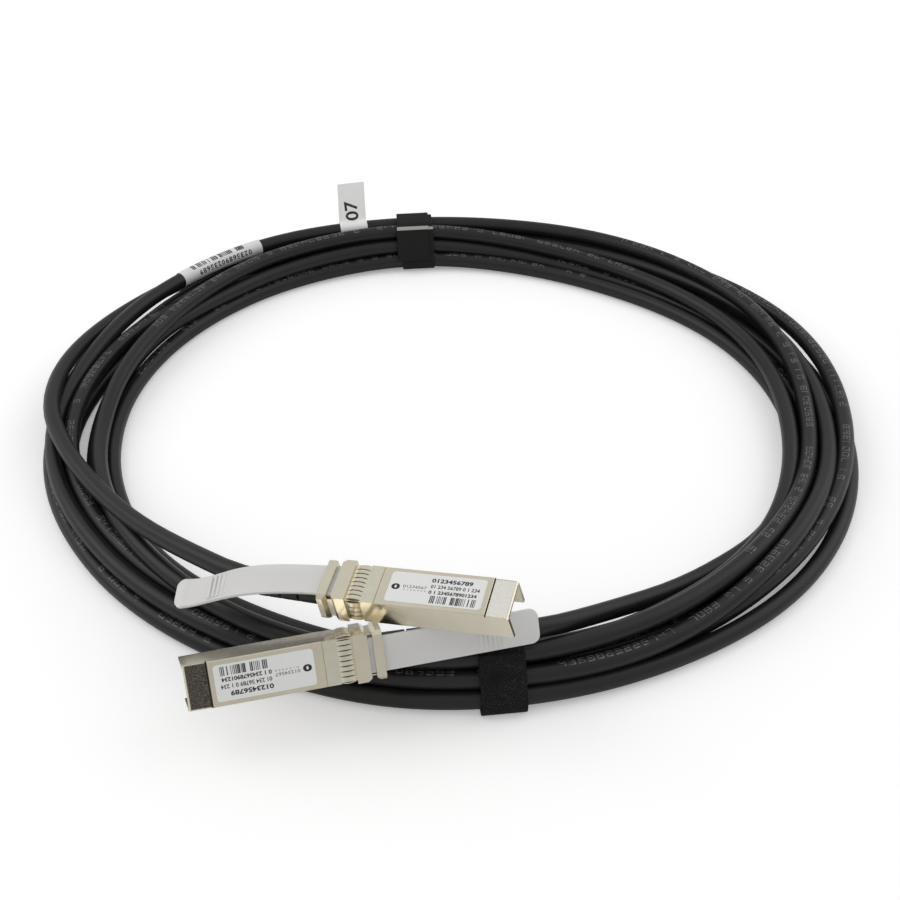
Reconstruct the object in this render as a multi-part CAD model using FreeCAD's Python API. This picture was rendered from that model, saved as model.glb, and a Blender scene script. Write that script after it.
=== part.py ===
import FreeCAD, Part
import os
from math import cos, degrees, exp, hypot, pi, radians, sin, sqrt, tan
from FreeCAD import Placement, Rotation, Vector

# Direct attach copper cable: a pluggable module on each end of one round twin-axial cable,
# which is wound into a flat ring and held by two hook-and-loop ties. Millimetres, +Z up.
# The cable and the modules are laid out about the ring's centre, on the surface at Z = 0, and
# the whole is then moved so that the origin is the centre of the two modules' common box.

# ---- driving dimensions ---------------------------------------------------------------------
# module body, along its own X from the nose (card edge) to the cable end
BODY_W = 13.4            # width of the shells
BODY_H = 8.5             # underside of the shell to the label face
COVER_T = 1.3            # thickness of the upper shell's plate
WALL = 1.1               # side walls of the lower shell
FLOOR_T = 2.0            # floor of the lower shell
HOOD_L = 7.9             # hood over the card edge
HOOD_STEP = 0.5          # hood lies this far below the label face
HOOD_FALL = 0.25         # and drops this much more towards the nose
NOSE_RAKE = 1.5          # side walls run on past the hood, raked
NOSE_FOOT = 0.6          # lower corners of the side walls
NOSE_HEAD = 1.35         # and their upper corners
COVER_L = 31.8           # plate that carries the label
COLLAR_L = 8.3           # stretch under the spring-finger collar
FLANGE_L = 4.1           # front flange
SLOT_L = 1.4             # groove between the flanges
REAR_L = 2.7             # rear flange
FLANGE_W = 14.2          # width of the front flange
REAR_W = 14.5            # width of the rear flange
FLANGE_RISE = 0.8        # front flange above the label face
REAR_RISE = 1.0          # rear flange above the label face
FLANGE_DROP = 0.3        # flanges below the underside
NOTCH_D = 0.9            # depth of the notch in both sides where the flanges meet
NOTCH_L = 1.1            # length of its sloping faces
UNDER_OPEN_L = 10.4      # underside is open from the nose to here
BULKHEAD_T = 3.9         # solid wall ahead of the flanges
LABEL_X = 1.6            # label starts this far behind the hood
LABEL_L = 27.4
LABEL_W = 10.6
LABEL_T = 0.1

# spring-finger collar
COLLAR_T = 0.25
COLLAR_BAND = 3.9        # plain band ahead of the fingers
FINGER_BOW = 0.45
SLIT_W = 0.35
TOP_FINGERS = 8
SIDE_FINGERS = 4
FIT = 0.05               # clearance between stacked metal parts
RUN = 0.1                # clearance round anything that slides

# paddle card and contacts
CARD_T = 1.0
CARD_W = 10.4
CARD_L = 21.0
CARD_X = 2.4             # leading edge, from the nose
CARD_HOLD = 0.3          # width of each edge that rests on its rail
PAD_COUNT = 10
PAD_PITCH = 0.8
PAD_W = 0.55
PAD_L = 2.6
PAD_T = 0.05
CORE_R = 0.55            # insulated conductors
CORE_GAP = 1.2           # their spacing within a pair

# cable, its ferrule and strain relief
CABLE_D = 5.9
CABLE_Z = 3.8            # cable axis above the module's underside
JACKET_IN = 2.5          # length of jacket held in the rear flange
FERRULE_R = 2.4
FERRULE_BORE_R = 2.0
FERRULE_L = 9.0
BOOT_R = 4.4             # largest radius of the strain relief
BOOT_END_R = 3.5
BOOT_ROOT_R = 3.5        # where it is held in the rear flange
BOOT_CORE_R = 3.3        # in its grooves
BOOT_L = 20.0
BOOT_GROOVE = 0.8
BOOT_SEGMENTS = (7.0, 4.8, 3.4)
BOOT_FLAT = 0.5          # its flat top lies this far under the tab
BORE_FIT = 0.03          # between the jacket and what is moulded or crimped on it

# pull tab and latch slider
TAB_W = 10.2
TAB_T = 0.9
TAB_REACH = 44.5         # length beyond the rear flange
TAB_ROOT = 7.0           # length inside the module
TAB_TIP_R = 2.5
RIB_COUNT = 6
RIB_PITCH = 1.3
RIB_H = 0.2
RIB_FROM_TIP = 10.5      # first rib
RIB_W = 0.7
TRAVEL = 2.5             # pull of the tab
SLIDER_T = 0.4
SLIDER_W = 8.0
SLIDER_Z = 0.5           # underside of the slider plate
LEG_W = 2.5
LEG_OUT = 5.75           # outer face of the slider's legs from the centre line
PEG_R = 0.7
PEG_Y = 3.0
BOSS_X = 45.0            # latch shoulder from the nose
BOSS_L = 2.6
BOSS_W = 2.6
BOSS_H = 1.0
SPRING_R = 0.7
SPRING_WIRE = 0.25
SPRING_L = 8.0
SCREW_R = 0.55
SCREW_HEAD_R = 1.0
SCREW_HEAD_T = 0.8
SCREW_X = 33.0
SCREW_Y = 4.0

# ties and tags
TIE_W = 12.7
TIE_T = 0.9
TIE_SLACK = 0.15
TIE_LAP = 0.7            # second layer where the end is lapped over
FRONT_LAP = 7.0          # the front tie's lap starts this far outside the ring's middle
BACK_LAP = 1.0           # and the back tie's this far inside it
TIE_RISE_DEG = 14.0      # the ring lifts over a tie within about this much of it
FRONT_TIE_DEG = -83.0
BACK_TIE_DEG = 97.0
TAGGED_TURN = 4          # the turn that carries the wrap label and the flag
SLEEVE_T = 0.25
WRAP_DEG = (122.8, 138.3)
FLAG_DEG = 106.5
FLAG_W = 12.0
FLAG_H = 17.0
FLAG_SLANT = 0.14        # its upper edge lies this share of its height along the strand
FLAG_T = 0.3
FLAG_LEAN = 25.0

# ---- places of the modules, about the ring's centre -----------------------------------------
# The nose of each: its distance to the right, how far it lies outside the ring's front point,
# its height above the pile of turns that the modules lie on, then yaw, pitch and roll in
# degrees. Module b lies on the upper edge of module a, which stands almost on its side.
ROLL_A = 65.5
SEAT = {
    "a": (-74.65, 5.34, 2.5, (13.0, -1.5, ROLL_A)),
    "b": (19.64, -2.36, BODY_W * sin(radians(ROLL_A)) + 6.06, (164.5, 6.4, -9.2)),
}
PILE_LEVELS = 2.73       # height of that pile in cable diameters
ORIGIN = Vector(-26.865, -118.71, 27.68)      # centre of the modules' box, about the ring's centre

# ---- lay of the ring ------------------------------------------------------------------------
# Each turn is given where it crosses these bearings: how far its centre line is outside the
# ring's mean radius and its level above the surface, both in cable diameters. Turns run
# anticlockwise from the front, seen from above.
RING_R = 125.0
BEARINGS = (-90, -60, -30, 0, 30, 60, 96, 120, 135, 150, 165, 180, 210, 240)
LAY = (
    ((-4.91, 0.40), (-4.30, 0.00), (-2.07, 0.00), (-0.41, 0.00), (0.33, 0.00),
     (0.26, 0.00), (1.06, 0.00), (1.04, 0.00), (0.66, 0.00), (0.22, 0.00),
     (-0.33, 0.00), (-0.93, 0.00), (-2.04, 0.00), (-3.30, 0.00)),
    ((-3.24, 0.00), (-2.93, 0.00), (-1.07, 0.00), (0.61, 0.00), (1.35, 0.00),
     (1.28, 0.02), (1.57, 0.87), (1.41, 0.88), (0.95, 0.86), (0.98, 0.75),
     (0.55, 0.40), (0.07, 0.00), (-1.04, 0.00), (-2.30, 0.00)),
    ((-2.22, 0.00), (-1.94, 0.00), (-0.07, 0.00), (1.63, 0.00), (2.37, 0.00),
     (2.36, 0.00), (2.09, 0.00), (2.19, 0.10), (1.95, 0.72), (2.37, 0.88),
     (2.00, 0.95), (1.48, 0.92), (-0.52, 0.88), (-1.80, 0.87)),
    ((-1.72, 0.87), (-2.19, 0.92), (-1.56, 0.95), (-0.91, 0.97), (0.69, 0.97),
     (1.48, 0.97), (2.09, 1.74), (2.09, 1.78), (1.36, 1.76), (0.56, 1.65),
     (0.10, 1.32), (-0.37, 0.88), (-1.05, 1.72), (-1.30, 1.73)),
    ((-1.22, 1.73), (-1.41, 1.76), (-0.93, 1.78), (0.24, 1.05), (2.33, 1.80),
     (3.41, 1.80), (3.13, 1.76), (3.89, 1.75), (3.62, 1.74), (3.26, 1.60),
     (2.98, 1.02), (2.50, 0.92), (0.44, 0.88), (-0.78, 0.87)),
    ((-0.70, 0.87), (-0.45, 0.92), (0.09, 1.73), (1.33, 1.00), (2.83, 0.95),
     (2.85, 0.92), (2.61, 0.87), (3.00, 0.90), (3.50, 0.54), (3.15, 0.10),
     (3.00, 0.03), (2.70, 0.00), (0.91, 0.00), (-0.26, 0.00)),
    ((-0.19, 0.00), (0.04, 0.00), (1.48, 0.00), (2.67, 0.00), (3.37, 0.00),
     (3.37, 0.00), (3.13, 0.00), (3.22, 0.00), (2.65, 0.00), (2.00, 0.00),
     (1.88, 0.00), (1.67, 0.00), (-0.06, 0.00), (-1.28, 0.00)),
    ((-1.20, 0.00), (-1.00, 0.04), (0.54, 0.87), (2.44, 0.97), (4.44, 0.90),
     (3.94, 0.90), (3.65, 0.87), (4.30, 0.85), (4.60, 0.80), (4.72, 0.80),
     (4.00, 1.38), (2.66, 1.90), (-0.60, 2.10), (-2.00, 2.90)),
)
COIL_FROM = -36.0        # the first turn joins the ring here
COIL_TO = 178.0          # and the last one leaves it here, less whole turns
HULL_STEP = 10           # degrees between the sections of the coil's solid
HULL_SIDES = 12

# Free stretches of the cable between a module and the ring, in the same three measures:
# bearing, diameters outside the mean radius, level.
FREE_A = ((-77.0, -1.80, 2.78), (-62.3, -3.45, 1.10), (-46.9, -3.37, 0.12), (-32.4, -2.31, 0.0))
FREE_B = ((-132.7, -1.82, 3.64), (-146.0, -1.47, 2.72), (-158.6, -0.52, 2.14),
          (-170.3, 0.99, 1.91), (179.0, 2.72, 1.87))
FREE_EXIT = 2.0          # straight length beyond the strain relief

# ---- derived module stations ----------------------------------------------------------------
COVER_X = HOOD_L
COLLAR_X = COVER_X + COVER_L
FLANGE_X = COLLAR_X + COLLAR_L
SLOT_X = FLANGE_X + FLANGE_L
REAR_X = SLOT_X + SLOT_L
MODULE_L = REAR_X + REAR_L
JACKET_X = MODULE_L - JACKET_IN              # the jacket is stripped back to here
PLATE_Z = BODY_H - COVER_T
CAVITY_END = FLANGE_X - BULKHEAD_T
CARD_Z = CABLE_Z - CARD_T / 2                # underside of the card
RECESS = COLLAR_T + FIT                      # shells step in under the collar by this much
TAB_Z = BODY_H - 1.05                        # underside of the tab in its channel
TAB_X = MODULE_L - TAB_ROOT
LEG_X = TAB_X - 0.7                          # front face of the slider's legs
SLIDER_TOP = SLIDER_Z + SLIDER_T
BAR_Z = TAB_Z - FIT - SLIDER_T               # underside of the slider's cross-bar
WINDOW_X = BOSS_X - BOSS_L - TRAVEL - 0.2    # front edge of the slider's window
SLIDER_X = WINDOW_X - 1.4


def box(x0, x1, y0, y1, z0, z1):
    """Box between two corners."""
    return Part.makeBox(x1 - x0, y1 - y0, z1 - z0, Vector(x0, y0, z0))


def slab(x0, x1, width, z0, z1):
    """Box centred on the module's centre line."""
    return box(x0, x1, -width / 2, width / 2, z0, z1)


def rod(x0, x1, radius, y=0.0, z=CABLE_Z):
    """Cylinder along the module's axis."""
    return Part.makeCylinder(radius, x1 - x0, Vector(x0, y, z), Vector(1, 0, 0))


def post(x, y, z0, z1, radius):
    """Upright cylinder."""
    return Part.makeCylinder(radius, z1 - z0, Vector(x, y, z0), Vector(0, 0, 1))


def prism(outline, direction):
    """Closed outline swept straight along a direction."""
    wire = Part.makePolygon(list(outline) + [outline[0]])
    return Part.Face(wire).extrude(direction)


def side_prism(outline, width):
    """Outline in the module's X-Z plane, given as pairs, across a width about the centre line."""
    points = [Vector(x, -width / 2, z) for x, z in outline]
    return prism(points, Vector(0, width, 0))


def rounded_plate(x0, x1, width, z0, z1, radius):
    """Plate with its four upright corners rounded."""
    plate = slab(x0, x1, width, z0, z1)
    upright = [edge for edge in plate.Edges if abs(edge.tangentAt(edge.FirstParameter).z) > 0.9]
    return plate.makeFillet(radius, upright)


# ---- module pieces, each in the module's own frame ------------------------------------------
def lower_shell():
    """Die-cast lower shell: raked nose walls, open card bay, bulkhead and half of the flanges."""
    outline = [(NOSE_FOOT, 0.0), (FLANGE_X, 0.0), (FLANGE_X, PLATE_Z), (NOSE_HEAD, PLATE_Z)]
    body = side_prism(outline, BODY_W)
    inner = BODY_W - 2 * WALL
    body = body.cut(slab(-1, CAVITY_END, inner, FLOOR_T, PLATE_Z + 1))
    body = body.cut(slab(-1, FLANGE_X, inner, CABLE_Z, PLATE_Z + 1))
    body = body.cut(slab(-1, UNDER_OPEN_L, inner, -1, FLOOR_T + 1))
    for side in (-1, 1):
        edge, foot = side * inner / 2, side * (CARD_W / 2 - CARD_HOLD)
        rail = box(CARD_X + 2, CARD_X + CARD_L, min(edge, foot), max(edge, foot), CARD_Z - 0.8, CARD_Z)
        body = body.fuse(rail)
    frame = slab(COLLAR_X, FLANGE_X, BODY_W + 2, -1, PLATE_Z + 1)
    frame = frame.cut(slab(COLLAR_X - 1, FLANGE_X + 1, BODY_W - 2 * RECESS, RECESS, PLATE_Z + 2))
    body = body.cut(frame)
    body = body.fuse(slab(FLANGE_X, SLOT_X, FLANGE_W, -FLANGE_DROP, CABLE_Z))
    body = body.fuse(slab(SLOT_X, REAR_X, FLANGE_W - 2 * NOTCH_D, 0.4, CABLE_Z))
    heel = slab(REAR_X, MODULE_L, REAR_W, -FLANGE_DROP, CABLE_Z)
    corners = [edge for edge in heel.Edges
               if edge.BoundBox.ZMax < 0 and edge.BoundBox.YLength < 0.01 and edge.BoundBox.XLength > 1]
    body = body.fuse(heel.makeFillet(1.2, corners))
    body = body.cut(cable_bore()).cut(slider_room()).fuse(latch_boss())
    for side in (-1, 1):
        body = body.cut(flange_notch(side))
        body = body.cut(post(SCREW_X, side * SCREW_Y, -1, FLOOR_T + 1, SCREW_R + FIT))
        body = body.cut(post(SCREW_X, side * SCREW_Y, -1, SCREW_HEAD_T + FIT, SCREW_HEAD_R + RUN))
    return body.removeSplitter()


def flange_notch(side):
    """Notch with sloping faces that both shells share on one side, between the flanges."""
    inner = side * (FLANGE_W / 2 - NOTCH_D)
    far = side * REAR_W
    outline = [(SLOT_X - NOTCH_L, far), (SLOT_X - NOTCH_L, side * FLANGE_W / 2), (SLOT_X, inner),
               (REAR_X, inner), (REAR_X + NOTCH_L, side * REAR_W / 2), (REAR_X + NOTCH_L, far)]
    points = [Vector(x, y, -1) for x, y in outline]
    return prism(points, Vector(0, 0, BODY_H + 3))


def cable_bore():
    """Stepped bore for the ferrule and the root of the strain relief."""
    wide = rod(JACKET_X - FIT, MODULE_L + 1, BOOT_ROOT_R + FIT)
    return rod(CAVITY_END - 1, MODULE_L, FERRULE_R + FIT).fuse(wide)


def slider_room():
    """Space in the shells for the latch slider over its whole travel, and for its spring."""
    ceiling = SLIDER_TOP + RUN
    room = slab(SLIDER_X - RUN, LEG_X + LEG_W + TRAVEL + RUN, SLIDER_W + 2 * RUN, -1, ceiling)
    wide = 2 * (LEG_OUT + RUN)
    room = room.fuse(slab(LEG_X - RUN, LEG_X + LEG_W + TRAVEL + RUN, wide, -1, ceiling))
    for side in (-1, 1):
        y0 = side * (LEG_OUT + RUN)
        y1 = side * (LEG_OUT - SLIDER_T - RUN)
        room = room.fuse(box(LEG_X - RUN, LEG_X + LEG_W + TRAVEL + RUN, min(y0, y1), max(y0, y1),
                             -1, TAB_Z + 0.5))
    groove = rod(SLIDER_X - SPRING_L - RUN, SLIDER_X, SPRING_R + RUN, 0.0, SPRING_R + 0.35)
    mouth = slab(SLIDER_X - SPRING_L - RUN, SLIDER_X, 2 * (SPRING_R + RUN), -1, SPRING_R + 0.35)
    return room.fuse(groove).fuse(mouth)


def latch_boss():
    """Fixed wedge on the underside that the cage's latch drops behind."""
    root = SLIDER_TOP + RUN + 0.3
    outline = [(BOSS_X - BOSS_L, root), (BOSS_X, root), (BOSS_X, -BOSS_H),
               (BOSS_X - 0.5, -BOSS_H), (BOSS_X - BOSS_L, 0.0)]
    return side_prism(outline, BOSS_W)


def upper_shell():
    """Upper shell: label plate, sloping hood, screw posts and the other half of the flanges."""
    plate = slab(COVER_X, COLLAR_X, BODY_W, PLATE_Z, BODY_H)
    rim = [edge for edge in plate.Edges if edge.BoundBox.ZMin > BODY_H - 0.01]
    plate = plate.makeChamfer(0.2, rim)
    hood_top = BODY_H - HOOD_STEP
    outline = [(NOSE_RAKE, PLATE_Z), (COVER_X, PLATE_Z), (COVER_X, hood_top),
               (NOSE_RAKE + 0.4, hood_top - HOOD_FALL), (NOSE_RAKE, hood_top - HOOD_FALL - 0.3)]
    shell = plate.fuse(side_prism(outline, BODY_W))
    shell = shell.fuse(slab(COLLAR_X, FLANGE_X, BODY_W - 2 * RECESS, PLATE_Z, BODY_H - RECESS))
    inner = BODY_W - 2 * WALL - 2 * FIT
    tongue = slab(UNDER_OPEN_L, CAVITY_END - FIT, inner, PLATE_Z - 0.5, PLATE_Z)
    shell = shell.fuse(tongue.cut(slab(UNDER_OPEN_L + 1, CAVITY_END - 1, inner - 2, 0, BODY_H)))
    for side in (-1, 1):
        shell = shell.fuse(post(SCREW_X, side * SCREW_Y, FLOOR_T + FIT, PLATE_Z, 1.2))
        shell = shell.cut(post(SCREW_X, side * SCREW_Y, 0, PLATE_Z - 0.2, SCREW_R + FIT))
    front = slab(FLANGE_X, SLOT_X, FLANGE_W, CABLE_Z, BODY_H + FLANGE_RISE)
    shell = shell.fuse(front)
    shell = shell.fuse(slab(SLOT_X, REAR_X, FLANGE_W - 2 * NOTCH_D, CABLE_Z, TAB_Z - RUN))
    rear = slab(REAR_X, MODULE_L, REAR_W, CABLE_Z, BODY_H + REAR_RISE)
    rim = [edge for edge in rear.Edges
           if edge.BoundBox.ZMin > BODY_H and edge.BoundBox.YLength < 0.01]
    shell = shell.fuse(rear.makeChamfer(1.1, rim))
    shell = shell.fuse(slab(CAVITY_END + FIT, FLANGE_X, inner, CABLE_Z, PLATE_Z))
    shell = shell.cut(cable_bore())
    shell = shell.cut(slab(LEG_X - RUN, MODULE_L + 1, TAB_W + 2 * RUN, TAB_Z - RUN, TAB_Z + TAB_T + RUN))
    shell = shell.cut(slab(LEG_X - RUN, LEG_X + LEG_W + TRAVEL + RUN, 2 * (LEG_OUT + RUN),
                           BAR_Z - FIT, TAB_Z + RUN))
    shell = shell.cut(slider_room())
    for side in (-1, 1):
        shell = shell.cut(flange_notch(side))
    return shell.removeSplitter()


def finger(width):
    """One bowed collar finger, lying along X with its width across Y and its bow up +Z."""
    x0 = COLLAR_X + COLLAR_BAND
    x1 = FLANGE_X - FIT - 0.2
    mid = (x0 + x1) / 2
    outer = Part.Arc(Vector(x0, 0, 0), Vector(mid, 0, FINGER_BOW), Vector(x1, 0, 0)).toShape()
    inner = Part.Arc(Vector(x1, 0, -COLLAR_T), Vector(mid, 0, FINGER_BOW - COLLAR_T),
                     Vector(x0, 0, -COLLAR_T)).toShape()
    front = Part.LineSegment(Vector(x1, 0, 0), Vector(x1, 0, -COLLAR_T)).toShape()
    back = Part.LineSegment(Vector(x0, 0, -COLLAR_T), Vector(x0, 0, 0)).toShape()
    strip = Part.Face(Part.Wire([outer, front, inner, back])).extrude(Vector(0, width, 0))
    strip.translate(Vector(0, -width / 2, 0))
    return strip


def finger_row(count, span, turn, height):
    """A row of fingers across a span, turned about X to one side of the body, clear of its axis."""
    pitch = span / count
    row = []
    for index in range(count):
        strip = finger(pitch - SLIT_W)
        strip.translate(Vector(0, -span / 2 + pitch * (index + 0.5), height))
        strip.rotate(Vector(0, 0, 0), Vector(1, 0, 0), turn)
        strip.translate(Vector(0, 0, BODY_H / 2))
        row.append(strip)
    return row


def collar():
    """Sheet-metal collar: a plain band round the shells, then bowed spring fingers."""
    edge = FIT
    outer = slab(COLLAR_X + FIT, COLLAR_X + COLLAR_BAND, BODY_W - 2 * edge, edge, BODY_H - edge)
    hole = slab(COLLAR_X - 1, FLANGE_X, BODY_W - 2 * (edge + COLLAR_T), edge + COLLAR_T,
                BODY_H - edge - COLLAR_T)
    band = outer.cut(hole)
    half_h = BODY_H / 2 - edge
    half_w = BODY_W / 2 - edge
    fingers = finger_row(TOP_FINGERS, BODY_W - 1.2, 0, half_h)
    fingers += finger_row(SIDE_FINGERS, BODY_H - 1.2, 90, half_w)
    fingers += finger_row(SIDE_FINGERS, BODY_H - 1.2, -90, half_w)
    under = finger_row(TOP_FINGERS, BODY_W - 1.2, 180, half_h)
    fingers += [strip for strip in under if abs(strip.CenterOfMass.y) > BOSS_W / 2 + 0.6]
    whole = band.multiFuse(fingers)
    window = slab(BOSS_X - BOSS_L - 0.4, FLANGE_X, BOSS_W + 0.8, -1, 1)
    return whole.cut(window).removeSplitter()


def card():
    """Paddle card with a bevelled leading edge."""
    top = CARD_Z + CARD_T
    outline = [(CARD_X, CARD_Z + 0.3), (CARD_X + 0.5, CARD_Z), (CARD_X + CARD_L, CARD_Z),
               (CARD_X + CARD_L, top), (CARD_X + 0.5, top), (CARD_X, top - 0.3)]
    return side_prism(outline, CARD_W)


def contacts():
    """Gold contact pads on both faces of the card edge."""
    pads = []
    start = CARD_X + 0.8
    for index in range(PAD_COUNT):
        y = (index - (PAD_COUNT - 1) / 2) * PAD_PITCH
        long = 0.4 if index in (0, PAD_COUNT - 1) else 0.0
        for z in (CARD_Z - PAD_T, CARD_Z + CARD_T):
            pads.append(box(start - long * 0.5, start + PAD_L + long, y - PAD_W / 2, y + PAD_W / 2,
                            z, z + PAD_T))
    return Part.makeCompound(pads)


def cores():
    """Two pairs of insulated conductors from the cable's end to the card."""
    wires = []
    for z in (CARD_Z - CORE_R, CARD_Z + CARD_T + CORE_R):
        for side in (-1, 1):
            wires.append(rod(CARD_X + CARD_L - 3.0, JACKET_X - FIT, CORE_R, side * CORE_GAP / 2, z))
    return Part.makeCompound(wires)


def ferrule():
    """Crimp ferrule over the braid, inside the flanges."""
    start = JACKET_X - FIT - FERRULE_L
    tube = rod(start, JACKET_X - FIT, FERRULE_R)
    return tube.cut(rod(start - 1, JACKET_X + 1, FERRULE_BORE_R))


def boot_radius(x):
    """Outer radius of the strain relief's taper at a distance from the nose."""
    return BOOT_R + (BOOT_END_R - BOOT_R) * (x - MODULE_L) / BOOT_L


def boot():
    """Tapered strain relief in grooved segments, flattened under the tab, held in the flange."""
    end = MODULE_L + BOOT_L
    x = MODULE_L + FIT
    outline = [(JACKET_X, 0.0), (JACKET_X, BOOT_ROOT_R), (x, BOOT_ROOT_R)]
    for length in BOOT_SEGMENTS:
        groove = x + length
        outline += [(x, boot_radius(x)), (groove, boot_radius(groove)),
                    (groove, BOOT_CORE_R), (groove + BOOT_GROOVE, BOOT_CORE_R)]
        x = groove + BOOT_GROOVE
    outline += [(x, boot_radius(x)), (end, BOOT_END_R), (end, 0.0)]
    points = [Vector(px, 0, CABLE_Z + pz) for px, pz in outline]
    face = Part.Face(Part.makePolygon(points + [points[0]]))
    body = face.revolve(Vector(0, 0, CABLE_Z), Vector(1, 0, 0), 360)
    body = body.cut(slab(MODULE_L - 1, end + 1, 3 * BOOT_R, TAB_Z - BOOT_FLAT, BODY_H * 2))
    return body.cut(rod(JACKET_X - 1, end + 1, CABLE_D / 2 + BORE_FIT))


def slider():
    """Latch slider: windowed plate under the shell, two legs, a cross-bar and two pegs."""
    rear = LEG_X + LEG_W
    body = slab(SLIDER_X, rear, SLIDER_W, SLIDER_Z, SLIDER_TOP)
    body = body.fuse(slab(LEG_X, rear, 2 * LEG_OUT, SLIDER_Z, SLIDER_TOP))
    body = body.cut(slab(WINDOW_X, BOSS_X + 0.2, BOSS_W + 2 * RUN, 0, 2))
    for side in (-1, 1):
        y0 = side * LEG_OUT
        y1 = side * (LEG_OUT - SLIDER_T)
        body = body.fuse(box(LEG_X, rear, min(y0, y1), max(y0, y1), SLIDER_Z, BAR_Z + SLIDER_T))
        body = body.fuse(post(LEG_X + LEG_W / 2, side * PEG_Y, BAR_Z, TAB_Z + TAB_T - RUN, PEG_R))
    body = body.fuse(slab(LEG_X, rear, 2 * LEG_OUT, BAR_Z, BAR_Z + SLIDER_T))
    return body.removeSplitter()


def return_spring():
    """Envelope of the small extension spring that draws the slider home."""
    z = SPRING_R + 0.35
    outer = rod(SLIDER_X - SPRING_L, SLIDER_X - FIT, SPRING_R, 0.0, z)
    return outer.cut(rod(SLIDER_X - SPRING_L - 1, SLIDER_X + 1, SPRING_R - SPRING_WIRE, 0.0, z))


def screws():
    """Two screws that hold the shells together."""
    solids = []
    for side in (-1, 1):
        shank = post(SCREW_X, side * SCREW_Y, 0.0, PLATE_Z - 0.6, SCREW_R)
        head = post(SCREW_X, side * SCREW_Y, 0.0, SCREW_HEAD_T, SCREW_HEAD_R)
        solids.append(shank.fuse(head).removeSplitter())
    return Part.makeCompound(solids)


def label():
    """Rounded label on the upper shell."""
    start = COVER_X + LABEL_X
    return rounded_plate(start, start + LABEL_L, LABEL_W, BODY_H, BODY_H + LABEL_T, 1.0)


# ---- pull tabs ------------------------------------------------------------------------------
# Centre line of each tab beyond the rear flange, in its module's frame: distance along the
# module, side step, rise, and twist about the module's axis in degrees.
TAB_LINE = {
    "a": ((0.0, 0.0, 0.0, 0.0), (TAB_REACH, 0.0, 0.0, 0.0)),
    "b": ((0.0, 0.0, 0.0, 0.0), (6.0, 0.3, 0.0, -1.0), (14.0, 1.1, -0.1, 0.0),
          (21.0, 2.2, -0.4, 0.5), (30.0, 3.7, -2.3, 0.0), (TAB_REACH, 7.1, -4.8, 3.5)),
}


def tab_frame(end, along):
    """Centre, direction along, and width direction of a tab at a distance past the flange."""
    line = TAB_LINE[end]
    span = 0
    while span < len(line) - 2 and along > line[span + 1][0]:
        span += 1
    share = (along - line[span][0]) / (line[span + 1][0] - line[span][0])
    values = [a + (b - a) * share for a, b in zip(line[span], line[span + 1])]
    slope = [b - a for a, b in zip(line[span], line[span + 1])]
    centre = Vector(MODULE_L + values[0], values[1], TAB_Z + TAB_T / 2 + values[2])
    forward = Vector(slope[0], slope[1], slope[2])
    forward.normalize()
    twist = radians(values[3])
    across = Vector(0, cos(twist), -sin(twist))
    across = across - forward * across.dot(forward)
    across.normalize()
    return centre, forward, across


def tab_section(centre, forward, across, width):
    """Closed rectangle across a tab."""
    up = forward.cross(across)
    ring = []
    for u, v in ((-1, -1), (1, -1), (1, 1), (-1, 1)):
        ring.append(centre + across * (u * width / 2) + up * (v * TAB_T / 2))
    return Part.makePolygon(ring + [ring[0]])


def pull_tab(end):
    """Nylon pull tab: a flat root with two peg holes, a strap, grip ribs and a rounded tip."""
    tab = slab(TAB_X, MODULE_L, TAB_W, TAB_Z, TAB_Z + TAB_T)
    line = TAB_LINE[end]
    if len(line) == 2:
        strap = slab(MODULE_L, MODULE_L + TAB_REACH - TAB_TIP_R, TAB_W, TAB_Z, TAB_Z + TAB_T)
    else:
        stops = [knot[0] for knot in line[:-1]] + [TAB_REACH - TAB_TIP_R]
        wires = []
        for stop in stops:
            centre, forward, across = tab_frame(end, stop)
            if stop == 0:
                forward = Vector(1, 0, 0)
                across = Vector(0, 1, 0)
            wires.append(tab_section(centre, forward, across, TAB_W))
        strap = Part.makeLoft(wires, True, False)
    tab = tab.fuse(strap)
    centre, forward, across = tab_frame(end, TAB_REACH - TAB_TIP_R)
    tab = tab.fuse(tab_tip(centre, forward, across))
    for index in range(RIB_COUNT):
        at = TAB_REACH - RIB_FROM_TIP - index * RIB_PITCH
        centre, forward, across = tab_frame(end, at)
        tab = tab.fuse(rib(centre, forward, across))
    for side in (-1, 1):
        tab = tab.cut(post(LEG_X + LEG_W / 2, side * PEG_Y, 0, BODY_H + 1, PEG_R + FIT))
    return tab.removeSplitter()


def tab_tip(centre, forward, across):
    """Rounded end of a tab."""
    up = forward.cross(across)
    half = TAB_W / 2
    low = centre - up * (TAB_T / 2)
    near = low - across * half
    far = low + across * half
    inset = TAB_TIP_R * (1 - sqrt(0.5))
    near_mid = near + forward * (TAB_TIP_R - inset) + across * inset
    far_mid = far + forward * (TAB_TIP_R - inset) - across * inset
    near_end = near + forward * TAB_TIP_R + across * TAB_TIP_R
    far_end = far + forward * TAB_TIP_R - across * TAB_TIP_R
    edges = [
        Part.LineSegment(far, near).toShape(),
        Part.Arc(near, near_mid, near_end).toShape(),
        Part.LineSegment(near_end, far_end).toShape(),
        Part.Arc(far_end, far_mid, far).toShape(),
    ]
    return Part.Face(Part.Wire(edges)).extrude(up * TAB_T)


def rib(centre, forward, across):
    """One raised grip rib on both faces of a tab."""
    up = forward.cross(across)
    half_l = TAB_W / 2 - 0.9
    high = TAB_T / 2 + RIB_H
    ring = []
    for u, v in ((-1, -1), (1, -1), (1, 1), (-1, 1)):
        ring.append(centre + across * (u * half_l) + forward * (v * RIB_W / 2) - up * high)
    return prism(ring, up * (2 * high))


# ---- cable ----------------------------------------------------------------------------------
def ring_radius(out):
    """Radius of a berth given in cable diameters outside the mean radius."""
    return RING_R + CABLE_D * out


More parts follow.
